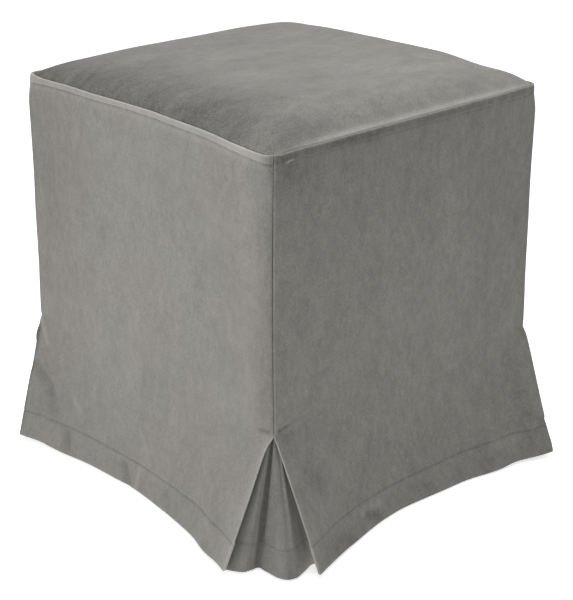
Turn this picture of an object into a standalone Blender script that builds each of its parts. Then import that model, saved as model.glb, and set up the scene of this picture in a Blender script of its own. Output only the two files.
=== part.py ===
"""A cube pouf stool: one filled body under a fitted velvet cover that opens in a pleat at each corner.

Metres, +Z up. The origin is on the floor, under the middle of the pouf. The front panel faces -Y.
A panel is first cut flat, as a slab of cloth, and each of its points is then put where it hangs.
"""

import math
from typing import Callable, NamedTuple, Sequence

import bmesh
import bpy
from mathutils import Vector

# The cover, measured to the outer face of the cloth.
TOP_HALF = 0.2030  # half the cover's width from the top edge down to the waist
PLEAT_HALF = 0.2062  # half its width where the corner pleats open
WAIST_Z = 0.270  # below this height the cover starts to widen
PLEAT_Z = 0.145  # height at which a corner seam ends and its pleat opens
STITCH_Z = 0.430  # the row of stitching under the top edge
SLIT = 0.1520  # length of cloth from the end of the corner seam to the hem
HEM_DEPTH = 0.0310  # the turned-up hem
HEM_LOW_Z = 0.0020  # the hem's height in the middle of a side
HEM_HIGH_Z = 0.0080  # the hem's height at the flared corners
HEM_RISE_POWER = 2.5
MIDDLE_HANG = 2.1  # the skirt curves out slowly in the middle of a side
EDGE_HANG = 1.0  # and straight from the pleat's opening at its edges
MIDDLE_SHARE = 0.45  # share of a side's half width that hangs as its middle does
SIDE_BULGE = 0.0025  # how far the filling pushes the middle of a side out

# Cloth thicknesses and clearances.
CLOTH = 0.0022
HEM_CLOTH = 0.0040
PLEAT_CLOTH = 0.0018
PLEAT_HEM_CLOTH = 0.0032
GAP = 0.0005  # between the filled body and the panels
SEAM_GAP = 0.0002  # half the gap at a corner seam, along each panel
PLEAT_GAP = 0.0012
HEM_STEP = 0.0020  # length of cloth over which the hem's double thickness begins

# How far the cover has settled along X and along Y at each height, from the seams' ends to the top.
LEAN = ((0.0, 0.0), (PLEAT_Z, 0.0013), (STITCH_Z, -0.0010))

# Rounding of the vertical corners, which grows near the top edge.
CORNER_RADIUS = 0.0050
TOP_CORNER_RADIUS = 0.0200
TOP_ROUNDING_DEPTH = 0.018
MITRE = 1 - math.sqrt(0.5)  # share of a corner's radius cut off at its 45 degree line
MITRE_FADE = 0.012  # length of cloth over which a mitred seam edge becomes a free edge
MITRED_SHARE = 0.97  # share of a side's half width that this leaves as it is


class BandRow(NamedTuple):
    """One row of the padded edge above the top stitching."""

    height: float  # above the stitching
    proud: float  # outer face beyond the side
    depth: float  # inner face behind the side


EDGE_BAND = (
    BandRow(0.0000, -0.0008, 0.0023),
    BandRow(0.0018, 0.0010, 0.0032),
    BandRow(0.0046, 0.0015, 0.0060),
    BandRow(0.0072, 0.0007, 0.0060),
    BandRow(0.0088, -0.0012, 0.0046),
)
STITCH_PULL = 0.006  # below the stitching, the height over which it draws the cloth in

# The filled body. Its top panel's height falls off as (1 - share ** CROWN_POWER) ** CROWN_ROUNDNESS.
TOP_EDGE_INSET = 0.0070  # the top panel starts this far inside the cover's side
TOP_EDGE_Z = 0.4350
CROWN = 0.0295
CROWN_POWER = 6.0
CROWN_ROUNDNESS = 0.5
CROWN_SWELL = 0.07  # share by which the crown is fuller towards the back
BODY_CORNER_RADIUS = 0.0120  # and never less than the cover's own


class BodyRow(NamedTuple):
    """One row of the filled body's side."""

    height: float
    inset: float  # behind the cover's outer face


BODY_SIDE = (
    BodyRow(0.0000, 0.0240),
    BodyRow(0.0025, 0.0180),
    BodyRow(0.0090, 0.0140),
    BodyRow(0.0400, 0.0115),
    BodyRow(0.1000, 0.0095),
    BodyRow(0.1600, 0.0080),
    BodyRow(0.1680, CLOTH + GAP),
    BodyRow(0.1980, CLOTH + GAP),
    BodyRow(0.2580, CLOTH + GAP),
    BodyRow(0.3230, CLOTH + GAP),
    BodyRow(0.3780, CLOTH + GAP),
    BodyRow(0.4110, CLOTH + GAP),
    BodyRow(0.4285, CLOTH + 2 * GAP),
    BodyRow(0.4310, 0.0058),
    BodyRow(TOP_EDGE_Z, TOP_EDGE_INSET),
)
BODY_CUTS = (0.0, 0.22, 0.46, 0.66, 0.80, 0.90, 0.94, 0.975)


class Fold(NamedTuple):
    """A soft ridge (height above 0) or trough (below 0) that runs down the skirt of a panel."""

    top_across: float  # where it starts, along the panel, at the pleat's height
    hem_across: float  # where it meets the hem
    width: float
    height: float
    start: float  # share of the way down the slit at which it starts


class Skirt(NamedTuple):
    """How the open part of one panel hangs. Reaches are from the pouf's middle to the hem."""

    low_across: float  # where along the panel the hem comes closest to the body
    low_reach: float
    left_reach: float
    right_reach: float
    left_power: float  # how late the hem turns outward towards its left corner
    right_power: float
    left_edge: float  # where the panel's left lower corner lies along the side
    right_edge: float
    folds: tuple[Fold, ...]


class Side(NamedTuple):
    """One side of the pouf: the directions along its panel and out of it."""

    name: str
    along: Vector
    out: Vector
    skirt: Skirt


FRONT_SKIRT = Skirt(
    low_across=0.000,
    low_reach=0.2300,
    left_reach=0.2580,
    right_reach=0.2650,
    left_power=2.2,
    right_power=2.0,
    left_edge=-0.1850,
    right_edge=0.1973,
    folds=(
        Fold(-0.196, -0.120, 0.022, 0.0030, 0.25),
        Fold(-0.190, -0.158, 0.014, -0.0035, 0.05),
        Fold(0.120, 0.152, 0.020, 0.0032, 0.30),
        Fold(0.000, 0.004, 0.034, -0.0014, 0.30),
    ),
)
RIGHT_SKIRT = Skirt(
    low_across=-0.035,
    low_reach=0.2360,
    left_reach=0.2700,
    right_reach=0.2765,
    left_power=1.7,
    right_power=1.5,
    left_edge=-0.1952,
    right_edge=0.1900,
    folds=(
        Fold(0.150, 0.143, 0.020, -0.0038, 0.20),
        Fold(0.070, 0.070, 0.030, -0.0028, 0.35),
        Fold(-0.130, -0.120, 0.026, 0.0012, 0.40),
    ),
)
BACK_SKIRT = Skirt(
    low_across=0.012,
    low_reach=0.2310,
    left_reach=0.2690,
    right_reach=0.2640,
    left_power=2.0,
    right_power=2.1,
    left_edge=-0.1900,
    right_edge=0.1920,
    folds=(
        Fold(-0.140, -0.120, 0.024, 0.0030, 0.25),
        Fold(0.060, 0.075, 0.030, -0.0022, 0.30),
        Fold(0.165, 0.150, 0.018, -0.0030, 0.15),
    ),
)
LEFT_SKIRT = Skirt(
    low_across=-0.010,
    low_reach=0.2320,
    left_reach=0.2660,
    right_reach=0.2680,
    left_power=1.9,
    right_power=2.0,
    left_edge=-0.1930,
    right_edge=0.1890,
    folds=(
        Fold(-0.080, -0.090, 0.028, -0.0024, 0.30),
        Fold(0.130, 0.118, 0.024, 0.0030, 0.25),
        Fold(0.185, 0.156, 0.015, -0.0032, 0.10),
    ),
)

X_AXIS = Vector((1, 0, 0))
Y_AXIS = Vector((0, 1, 0))
SIDES = (
    Side("front", X_AXIS, -Y_AXIS, FRONT_SKIRT),
    Side("right", Y_AXIS, X_AXIS, RIGHT_SKIRT),
    Side("back", -X_AXIS, Y_AXIS, BACK_SKIRT),
    Side("left", -Y_AXIS, -X_AXIS, LEFT_SKIRT),
)

# Where a flat panel is cut into faces: shares of its half width, and lengths of cloth above the hem.
PANEL_CUTS = (0.10, 0.32, 0.52, 0.68, 0.79, 0.87, 0.925, 0.965, 0.985)
SKIRT_ROWS = (0.0155, HEM_DEPTH, HEM_DEPTH + HEM_STEP, 0.054, 0.078, 0.102, 0.124, 0.141)
SIDE_ROWS = (SLIT, 0.175, 0.205, 0.265, 0.330, 0.385, 0.418, 0.4245, 0.431)
STITCH_ROW = SLIT + STITCH_Z - PLEAT_Z
SLAB = 1.0  # thickness of a flat slab before its points are put in their places
ON_EDGE = 1 - 1e-5  # a share past this is the very edge


class PleatPoint(NamedTuple):
    """A point of a pleat's hem, measured from the straight line between the two hem corners beside it."""

    share: float  # of that line, from the first panel's corner to the second's
    setback: float  # towards the body


class Pleat(NamedTuple):
    """A corner's pleat insert."""

    name: str
    hem: tuple[PleatPoint, ...]


NEAR_PLEAT_HEM = (
    PleatPoint(0.195, 0.0062),
    PleatPoint(0.285, 0.0100),
    PleatPoint(0.360, 0.0118),
    PleatPoint(0.445, 0.0078),
    PleatPoint(0.555, 0.0005),
    PleatPoint(0.670, -0.0024),
    PleatPoint(0.765, 0.0030),
    PleatPoint(0.850, 0.0145),
    PleatPoint(0.915, 0.0250),
)
SOFT_PLEAT_HEM = (
    PleatPoint(0.170, 0.0090),
    PleatPoint(0.265, 0.0150),
    PleatPoint(0.360, 0.0130),
    PleatPoint(0.450, 0.0060),
    PleatPoint(0.540, 0.0040),
    PleatPoint(0.640, 0.0090),
    PleatPoint(0.735, 0.0150),
    PleatPoint(0.820, 0.0140),
    PleatPoint(0.890, 0.0120),
)
PLEATS = (
    Pleat("pleat_front_right", NEAR_PLEAT_HEM),
    Pleat("pleat_back_right", SOFT_PLEAT_HEM),
    Pleat("pleat_back_left", NEAR_PLEAT_HEM),
    Pleat("pleat_front_left", SOFT_PLEAT_HEM),
)
FIRST_WING = (0.038, 0.028, 0.018, 0.007)  # from the first panel's edge in to the insert, at the hem
FIRST_WING_SLANT = 0.004  # and how much further in at its top
LAST_WING = (0.028, 0.036, 0.044)  # the same from the second panel's edge
LAST_WING_SLANT = -0.012
PLEAT_SET_IN = 0.5  # share of the slit over which the insert moves in to clear the hem's cloth
PLEAT_HEM_Z = 0.0040
PLEAT_TOP_REACH = 0.0105  # along each side, how much of the corner the gathered insert fills
PLEAT_TOP_INSET = CLOTH + 0.0009
PLEAT_CORNER_INSET = 0.0050
PLEAT_TUCK = 0.012  # length of insert caught behind the panels, above the slit
PLEAT_STEPS = 22
PLEAT_ROWS = (0.0155, HEM_DEPTH, HEM_DEPTH + HEM_STEP, 0.054, 0.078, 0.102, 0.124, 0.141, SLIT)

VELVET_GREY = (0.262, 0.254, 0.240, 1.0)
VELVET_DARK = (0.195, 0.189, 0.180, 1.0)
VELVET_TOP = (0.290, 0.284, 0.268, 1.0)
CLOTH_ROUGHNESS = 0.9


def clear_scene() -> None:
    """Removes every object that the scene starts with."""
    for item in list(bpy.data.objects):
        bpy.data.objects.remove(item, do_unlink=True)


def smooth_step(value: float) -> float:
    """0 below 0, 1 above 1, and an even S between them."""
    value = min(max(value, 0.0), 1.0)
    return value * value * (3 - 2 * value)


def mix(first: float, second: float, share: float) -> float:
    """The value that lies this share of the way from the first to the second."""
    return first + (second - first) * share


def between_rows(rows: Sequence[tuple[float, float]], at: float) -> float:
    """Reads a rising table of (place, value) at any place, along straight lines."""
    if at <= rows[0][0]:
        return rows[0][1]
    for (low, low_value), (high, high_value) in zip(rows, rows[1:]):
        if at <= high:
            return mix(low_value, high_value, (at - low) / (high - low))
    return rows[-1][1]


def cover_half(height: float) -> float:
    """Half the cover's width at a height above the pleats' opening."""
    share = (WAIST_Z - height) / (WAIST_Z - PLEAT_Z)
    return mix(TOP_HALF, PLEAT_HALF, smooth_step(share))


def corner_radius(height: float) -> float:
    """The rounding of the cover's vertical corners at a height."""
    share = (height - STITCH_Z + TOP_ROUNDING_DEPTH) / TOP_ROUNDING_DEPTH
    return mix(CORNER_RADIUS, TOP_CORNER_RADIUS, smooth_step(share))


def side_bulge(across: float, height: float) -> float:
    """How far the filling pushes a side out at one point of it."""
    share = (height - PLEAT_Z) / (STITCH_Z - PLEAT_Z)
    rise = math.sin(math.pi * min(max(share, 0.0), 1.0))
    return SIDE_BULGE * rise * (1 - (across / PLEAT_HALF) ** 2)


def hem_reach(skirt: Skirt, across: float) -> float:
    """How far the hem stands from the pouf's middle, without its folds."""
    if across < skirt.low_across:
        share = (skirt.low_across - across) / (skirt.low_across - skirt.left_edge)
        return mix(skirt.low_reach, skirt.left_reach, share**skirt.left_power)
    share = (across - skirt.low_across) / (skirt.right_edge - skirt.low_across)
    return mix(skirt.low_reach, skirt.right_reach, share**skirt.right_power)


def fold_height(skirt: Skirt, across: float, drop: float) -> float:
    """The ridges and troughs of a skirt at one point. Drop runs from 0 at the pleat's height to 1."""
    total = 0.0
    for fold in skirt.folds:
        centre = mix(fold.top_across, fold.hem_across, drop)
        away = (across - centre) / fold.width
        grown = smooth_step((drop - fold.start) / (1 - fold.start))
        total += fold.height * grown * math.exp(-away * away)
    return total


def panel_edge(skirt: Skirt, side: int, drop: float) -> float:
    """Where a panel's left (side -1) or right (side 1) edge lies below the pleats' opening."""
    top = side * (PLEAT_HALF - MITRE * CORNER_RADIUS - SEAM_GAP)
    bottom = skirt.left_edge if side < 0 else skirt.right_edge
    return mix(top, bottom, drop)


def panel_depth(length: float) -> float:
    """A panel's thickness at a length of cloth above the hem, up to the top stitching."""
    rows = [(HEM_DEPTH, HEM_CLOTH), (HEM_DEPTH + HEM_STEP, CLOTH)]
    return between_rows(rows, length)


def band_faces(above_stitch: float) -> tuple[float, float]:
    """How far the outer face stands proud of the side, and the inner face behind it, near the top edge."""
    start = BandRow(-STITCH_PULL, 0.0, CLOTH)
    proud = between_rows([(row.height, row.proud) for row in (start, *EDGE_BAND)], above_stitch)
    back = between_rows([(row.height, row.depth) for row in (start, *EDGE_BAND)], above_stitch)
    return proud, back


def skirt_point(skirt: Skirt, across: float, length: float) -> tuple[float, float]:
    """Reach and height of a panel's outer face below the pleats' opening.

    Across is in metres along the side, and length is the cloth's own length above the hem.
    """
    drop = 1 - length / SLIT
    near_edge = min(abs(across) / PLEAT_HALF, 1.0)
    edge_share = (near_edge - MIDDLE_SHARE) / (1 - MIDDLE_SHARE)
    hang_power = mix(MIDDLE_HANG, EDGE_HANG, smooth_step(edge_share))
    reach = PLEAT_HALF + (hem_reach(skirt, across) - PLEAT_HALF) * drop**hang_power
    reach += fold_height(skirt, across, drop)
    hem_height = mix(HEM_LOW_Z, HEM_HIGH_Z, near_edge**HEM_RISE_POWER)
    return reach, mix(PLEAT_Z, hem_height, drop)


def corner_drop(across: float, height: float) -> float:
    """How far the rounded corner takes a side's outer face back."""
    radius = corner_radius(height)
    past = abs(across) - (cover_half(height) - radius)
    if past <= 0:
        return 0.0
    return radius - math.sqrt(max(radius * radius - past * past, 0.0))


def panel_point(side: Side, share: float, inner: bool, length: float) -> Vector:
    """Where one point of a flat panel hangs.

    Share runs from -1 to 1 across the panel, and length is the cloth's own length above the hem.
    """
    mitre = smooth_step(1 + (length - SLIT) / MITRE_FADE)
    if length < SLIT:
        end = 1 if share > 0 else -1
        across = abs(share) * panel_edge(side.skirt, end, 1 - length / SLIT)
        reach, height = skirt_point(side.skirt, across, length)
        mitred = smooth_step((abs(share) - MITRED_SHARE) / (1 - MITRED_SHARE))
        reach -= MITRE * CORNER_RADIUS * mitre * mitred
        depth = panel_depth(length)
    else:
        height = PLEAT_Z + length - SLIT
        half = cover_half(height)
        proud, back = band_faces(length - STITCH_ROW)
        across = share * (half - MITRE * corner_radius(height) - SEAM_GAP)
        reach = half + side_bulge(across, height) - corner_drop(across, height) + proud
        across += share * proud
        depth = proud + back
    if inner:
        reach -= depth
        across -= share * depth * mitre
    return side.along * across + side.out * reach + Vector((0, 0, height))


def flat_slab(columns: list[float], rows: list[float]) -> bmesh.types.BMesh:
    """A slab of cloth cut into faces at these columns (X) and rows (Z). Its outer face is at Y = 0."""
    slab = bmesh.new()
    bmesh.ops.create_cube(slab, size=1.0)
    middle = Vector(((columns[0] + columns[-1]) / 2, SLAB / 2, (rows[0] + rows[-1]) / 2))
    size = Vector((columns[-1] - columns[0], SLAB, rows[-1] - rows[0]))
    bmesh.ops.scale(slab, vec=size, verts=slab.verts)
    bmesh.ops.translate(slab, vec=middle, verts=slab.verts)
    cuts = [(Vector((place, 0, 0)), X_AXIS) for place in columns[1:-1]]
    cuts += [(Vector((0, 0, place)), Vector((0, 0, 1))) for place in rows[1:-1]]
    for place, normal in cuts:
        everything = slab.verts[:] + slab.edges[:] + slab.faces[:]
        bmesh.ops.bisect_plane(slab, geom=everything, plane_co=place, plane_no=normal)
    return slab


def velvet(name: str, colour: tuple[float, float, float, float]) -> bpy.types.Material:
    """A matt cloth material."""
    material = bpy.data.materials.new(name)
    material.use_nodes = True
    shader = material.node_tree.nodes["Principled BSDF"]
    shader.inputs["Base Color"].default_value = colour
    shader.inputs["Roughness"].default_value = CLOTH_ROUGHNESS
    shader.inputs["Metallic"].default_value = 0.0
    return material


def finish_object(
    name: str,
    shape: bmesh.types.BMesh,
    place: Callable[[Vector], Vector],
    material: bpy.types.Material,
) -> bpy.types.Object:
    """Puts each point of a flat or square shape in its place and makes the shape an object."""
    for vertex in shape.verts:
        spot = place(vertex.co.copy())
        lean = between_rows(LEAN, spot.z)
        vertex.co = spot + Vector((lean, lean, 0))
    bmesh.ops.recalc_face_normals(shape, faces=shape.faces)
    if shape.calc_volume(signed=True) < 0:
        bmesh.ops.reverse_faces(shape, faces=shape.faces)
    mesh = bpy.data.meshes.new(name)
    shape.to_mesh(mesh)
    shape.free()
    mesh.shade_smooth()
    mesh.materials.append(material)
    made = bpy.data.objects.new(name, mesh)
    bpy.context.scene.collection.objects.link(made)
    return made


def both_ways(shares: tuple[float, ...]) -> list[float]:
    """These shares, their opposites, and the two ends at -1 and 1, in rising order."""
    places = {-1.0, 1.0} | set(shares) | {-share for share in shares}
    return sorted(places)


def make_panel(side: Side, material: bpy.types.Material) -> bpy.types.Object:
    """One side panel with its padded top edge, its hem and its flared lower corners."""
    rows = [0.0, *SKIRT_ROWS, *SIDE_ROWS, *(STITCH_ROW + row.height for row in EDGE_BAND)]
    slab = flat_slab(both_ways(PANEL_CUTS), rows)

    def place(flat: Vector) -> Vector:
        share = math.copysign(1.0, flat.x) if abs(flat.x) > ON_EDGE else flat.x
        return panel_point(side, share, flat.y > SLAB / 2, flat.z)

    return finish_object(f"panel_{side.name}", slab, place, material)


def on_curve(points: list[Vector], share: float) -> tuple[Vector, Vector]:
    """A point, and the direction, on the smooth curve through all these points."""
    along = min(max(share, 0.0), 1.0) * (len(points) - 1)
    index = min(int(along), len(points) - 2)
    rest = along - index
    start, end = points[index], points[index + 1]
    before = points[index - 1] if index else start * 2 - end
    after = points[index + 2] if index + 2 < len(points) else end * 2 - start
    first, second = (end - before) / 2, (after - start) / 2
    cubic = start * 2 - end * 2 + first + second
    square = (end - start) * 3 - first * 2 - second
    place = start + first * rest + square * rest**2 + cubic * rest**3
    direction = first + square * (2 * rest) + cubic * (3 * rest**2)
    return place, direction.normalized()


def plan_point(side: Side, across: float, reach: float) -> Vector:
    """The plan position of a point this far along a side and this far out."""
    return side.along * across + side.out * reach


def pleat_line(first: Side, second: Side, hem: tuple[PleatPoint, ...], length: float) -> list[Vector]:
    """The plan points that an insert's outer face runs through at one length above its hem."""
    drop = min(max(1 - length / SLIT, 0.0), 1.0)
    behind = mix(PLEAT_TOP_INSET, HEM_CLOTH + PLEAT_GAP, smooth_step(drop / PLEAT_SET_IN))
    line = []
    for back in FIRST_WING:
        across = panel_edge(first.skirt, 1, drop) - back - FIRST_WING_SLANT * (1 - drop)
        reach = skirt_point(first.skirt, across, SLIT * (1 - drop))[0]
        line.append(plan_point(first, across, reach - behind))
    start = plan_point(first, panel_edge(first.skirt, 1, 1), first.skirt.right_reach)
    end = plan_point(second, panel_edge(second.skirt, -1, 1), second.skirt.left_reach)
    chord = end - start
    inward = Vector((-chord.y, chord.x, 0)).normalized()
    corner = plan_point(first, PLEAT_HALF, PLEAT_HALF)
    for index, point in enumerate(hem):
        low = start + chord * point.share + inward * point.setback
        turn = mix(-1.0, 1.0, index / (len(hem) - 1))
        along_first = PLEAT_CORNER_INSET + max(-turn, 0) * (PLEAT_TOP_REACH - PLEAT_CORNER_INSET)
        along_second = PLEAT_CORNER_INSET + max(turn, 0) * (PLEAT_TOP_REACH - PLEAT_CORNER_INSET)
        rounding = mix(PLEAT_CORNER_INSET, PLEAT_TOP_INSET, abs(turn)) - PLEAT_CORNER_INSET
        high = corner - second.out * (along_first + max(turn, 0) * rounding)
        high -= first.out * (along_second + max(-turn, 0) * rounding)
        line.append(high.lerp(low, drop))
    for back in LAST_WING:
        across = panel_edge(second.skirt, -1, drop) + back + LAST_WING_SLANT * (1 - drop)
        reach = skirt_point(second.skirt, across, SLIT * (1 - drop))[0]
        line.append(plan_point(second, across, reach - behind))
    return line


def make_pleat(index: int, pleat: Pleat, material: bpy.types.Material) -> bpy.types.Object:
    """The folded insert that closes one corner slit from behind."""
    first, second = SIDES[index], SIDES[(index + 1) % len(SIDES)]
    columns = [step / PLEAT_STEPS for step in range(PLEAT_STEPS + 1)]
    slab = flat_slab(columns, [0.0, *PLEAT_ROWS, SLIT + PLEAT_TUCK])

    def place(flat: Vector) -> Vector:
        spot, direction = on_curve(pleat_line(first, second, pleat.hem, flat.z), flat.x)
        if flat.y > SLAB / 2:
            thin = [(HEM_DEPTH, PLEAT_HEM_CLOTH), (HEM_DEPTH + HEM_STEP, PLEAT_CLOTH)]
            inward = Vector((-direction.y, direction.x, 0))
            spot = spot + inward * between_rows(thin, flat.z)
        height = mix(PLEAT_HEM_Z, PLEAT_Z, flat.z / SLIT)
        return Vector((spot.x, spot.y, height))

    return finish_object(pleat.name, slab, place, material)


def crown_share(share: float) -> float:
    """The crown's height across the top, from 1 in the middle to 0 at the edge."""
    return (1 - abs(share) ** CROWN_POWER) ** CROWN_ROUNDNESS


def rounded_square(across: float, deep: float, half: float, radius: float) -> tuple[float, float]:
    """Moves a point of a square of this half width so that the square's corners become round."""
    straight = half - radius
    past_x, past_y = abs(across) - straight, abs(deep) - straight
    if past_x <= 0 or past_y <= 0:
        return across, deep
    pull = max(past_x, past_y) / math.hypot(past_x, past_y)
    x = math.copysign(straight + past_x * pull, across)
    y = math.copysign(straight + past_y * pull, deep)
    return x, y


def make_body(material: bpy.types.Material) -> bpy.types.Object:
    """The filled body: a flat base, sides that fill the cover, and the crowned top panel."""
    shares = both_ways(BODY_CUTS)
    block = flat_slab(shares, [float(row) for row in range(len(BODY_SIDE))])
    bmesh.ops.translate(block, vec=Vector((0, -SLAB / 2, 0)), verts=block.verts)
    bmesh.ops.scale(block, vec=Vector((1, 2 / SLAB, 1)), verts=block.verts)
    for place in shares[1:-1]:
        everything = block.verts[:] + block.edges[:] + block.faces[:]
        bmesh.ops.bisect_plane(block, geom=everything, plane_co=Vector((0, place, 0)), plane_no=Y_AXIS)

    def place_point(square: Vector) -> Vector:
        row = BODY_SIDE[round(square.z)]
        outer = cover_half(row.height) if row.height > PLEAT_Z else PLEAT_HALF
        half = outer - row.inset
        radius = max(BODY_CORNER_RADIUS, corner_radius(row.height))
        x, y = rounded_square(square.x * half, square.y * half, half, radius)
        height = row.height
        on_side = max(abs(square.x), abs(square.y)) > ON_EDGE
        if on_side and row.inset == CLOTH + GAP:
            x += math.copysign(side_bulge(y, height), x) if abs(square.x) > ON_EDGE else 0
            y += math.copysign(side_bulge(x, height), y) if abs(square.y) > ON_EDGE else 0
        if height == TOP_EDGE_Z and not on_side:
            swell = 1 + CROWN_SWELL * square.y
            height += CROWN * crown_share(square.x) * crown_share(square.y) * swell
        return Vector((x, y, height))

    return finish_object("filled_body", block, place_point, material)


def main() -> None:
    """Builds the body, the four side panels and the four corner pleats."""
    clear_scene()
    side_velvet = velvet("side velvet", VELVET_GREY)
    pleat_velvet = velvet("pleat velvet", VELVET_DARK)
    top_velvet = velvet("top velvet", VELVET_TOP)
    make_body(top_velvet)
    for side in SIDES:
        make_panel(side, side_velvet)
    for index, pleat in enumerate(PLEATS):
        make_pleat(index, pleat, pleat_velvet)


main()
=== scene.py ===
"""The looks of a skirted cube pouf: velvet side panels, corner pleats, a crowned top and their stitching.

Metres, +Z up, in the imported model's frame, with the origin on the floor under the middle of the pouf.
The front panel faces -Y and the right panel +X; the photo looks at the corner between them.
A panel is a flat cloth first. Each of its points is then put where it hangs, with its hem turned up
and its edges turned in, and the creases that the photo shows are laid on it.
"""

import logging
import math
from dataclasses import dataclass, replace
from enum import Enum
from typing import Callable, Sequence

import bmesh
import bpy
import numpy as np
from mathutils import Matrix, Vector, noise

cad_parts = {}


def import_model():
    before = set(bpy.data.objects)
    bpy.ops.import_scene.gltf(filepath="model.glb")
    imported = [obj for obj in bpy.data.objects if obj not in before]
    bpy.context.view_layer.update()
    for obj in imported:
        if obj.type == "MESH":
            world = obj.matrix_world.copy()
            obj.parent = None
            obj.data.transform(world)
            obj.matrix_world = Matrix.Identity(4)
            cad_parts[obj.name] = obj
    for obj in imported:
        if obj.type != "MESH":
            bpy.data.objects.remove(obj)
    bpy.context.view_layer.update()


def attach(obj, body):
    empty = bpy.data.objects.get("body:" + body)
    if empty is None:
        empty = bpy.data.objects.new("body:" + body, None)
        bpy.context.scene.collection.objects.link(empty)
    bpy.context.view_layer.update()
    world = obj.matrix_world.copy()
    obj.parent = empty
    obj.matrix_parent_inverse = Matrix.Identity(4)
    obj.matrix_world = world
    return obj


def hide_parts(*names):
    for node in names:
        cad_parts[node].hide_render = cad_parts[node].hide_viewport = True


Array = np.ndarray
Numbers = Array | float
Pair = tuple[float, float]
Triple = tuple[float, float, float]
Piece = bpy.types.Object
Shape = bmesh.types.BMesh
Layer = bmesh.types.BMLayerItem
Rim = list[bmesh.types.BMEdge]
Material = bpy.types.Material
Socket = bpy.types.NodeSocket
BODY = "root"
PAINTED_LIGHT = "painted_light"  # attribute: painted light and shade, how much lighter or darker a point's colour is painted
HAIR = 1e-6
log = logging.getLogger("pouf")


class Hold(Enum):
    HUNG = "hung"
    GATHERED = "gathered"


def smooth_step(value: Numbers) -> Numbers:
    """Gives 0 below 0, 1 above 1, and an even S between them."""
    value = np.clip(value, 0.0, 1.0)
    return value * value * (3 - 2 * value)


def mix(first: Numbers, second: Numbers, share: Numbers) -> Numbers:
    """Gives the value that lies this share of the way from the first to the second."""
    return first + (second - first) * share


def hump(away: Numbers) -> Numbers:
    """Gives a soft bell: 1 at 0, and nearly nothing beyond 2."""
    return np.exp(-np.square(away))


def side_of(across: Numbers) -> Array:
    """Gives -1 left of the middle and 1 elsewhere."""
    return np.where(np.asarray(across) < 0, -1.0, 1.0)


def unit(vectors: Array) -> Array:
    """Scales each row to length 1."""
    return vectors / np.linalg.norm(vectors, axis=-1, keepdims=True)


def ripple(across: Array, up: Array, size: float, seed: float) -> Array:
    """Reads smooth noise at places on a sheet.

    Args:
        across: the places along one direction, in metres.
        up: the places along the other.
        size: the size of a swelling, in metres.
        seed: a place in the noise of its own.

    Returns:
        One value for each place, from about -1 to 1.
    """
    shift = Vector((seed, seed * 0.7, -seed))
    return np.array([noise.noise(Vector((*place, 0)) / size + shift) for place in zip(across, up)])


def smooth_profile(points: Sequence[Sequence[float]], steps: int = 12) -> Array:
    """Draws a smooth curve through points.

    Args:
        points: the points that it runs through.
        steps: how many short runs each stretch between two points becomes.

    Returns:
        The points of the curve, one row each.
    """
    rows = np.array(points, float)
    padded = np.vstack([2 * rows[0] - rows[1], rows, 2 * rows[-1] - rows[-2]])
    curve = []
    for before, start, end, after in zip(padded, padded[1:], padded[2:], padded[3:]):
        for share in np.arange(steps) / steps:
            place = start * 2 + (end - before) * share
            place += (before * 2 - start * 5 + end * 4 - after) * share**2
            place += (start * 3 - before - end * 3 + after) * share**3
            curve.append(place / 2)
    curve.append(rows[-1])
    return np.array(curve)


def add_piece(name: str, shape: Shape) -> Piece:
    """Makes an object from a finished shape, at the origin and smoothly shaded.

    Args:
        name: the object's name.
        shape: its points and faces, which are let go of.

    Returns:
        The new object.
    """
    mesh = bpy.data.meshes.new(name)
    shape.to_mesh(mesh)
    shape.free()
    mesh.shade_smooth()
    made = bpy.data.objects.new(name, mesh)
    bpy.context.scene.collection.objects.link(made)
    return made


def dress(piece: Piece, finish: Material, slot: str) -> None:
    """Gives a piece its finish and lets it ride with the pouf.

    Args:
        piece: the piece.
        finish: its material.
        slot: the record's slot for its finish; not used.
    """
    piece.data.materials.append(finish)
    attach(piece, BODY)


# ---- the studio


@dataclass(frozen=True)
class Camera:
    """The photo's camera, as it was fitted to the pouf's seams. Angles are in radians."""

    focal_px: float = 1367.2247  # for a frame 600 px high
    frame_px: float = 600.0
    sensor_mm: float = 36.0
    clip: Pair = (0.05, 30.0)
    azimuth: float = 0.8020830
    elevation: float = 0.4101593
    roll: float = 0.0169744
    distance: float = 1.58681
    aside: float = 0.005431
    above: float = -0.108045
    target_height: float = 0.2875

    def build(self) -> None:
        """Makes the camera and gives it to the scene."""
        flat = math.cos(self.elevation)
        sine, cosine = math.sin(self.azimuth), math.cos(self.azimuth)
        back = Vector((sine * flat, -cosine * flat, math.sin(self.elevation)))
        level = (-back).cross(Vector((0, 0, 1))).normalized()
        upright = level.cross(-back)
        right = math.cos(self.roll) * level + math.sin(self.roll) * upright
        up = math.cos(self.roll) * upright - math.sin(self.roll) * level
        place = back * self.distance + right * self.aside + up * self.above
        place += Vector((0, 0, self.target_height))
        data = bpy.data.cameras.new("photo_camera")
        data.sensor_width = self.sensor_mm
        data.lens = self.focal_px / self.frame_px * self.sensor_mm
        data.clip_start, data.clip_end = self.clip
        made = bpy.data.objects.new("photo_camera", data)
        made.matrix_world = Matrix.Translation(place) @ Matrix((right, up, back)).transposed().to_4x4()
        bpy.context.scene.collection.objects.link(made)
        bpy.context.scene.camera = made


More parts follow.
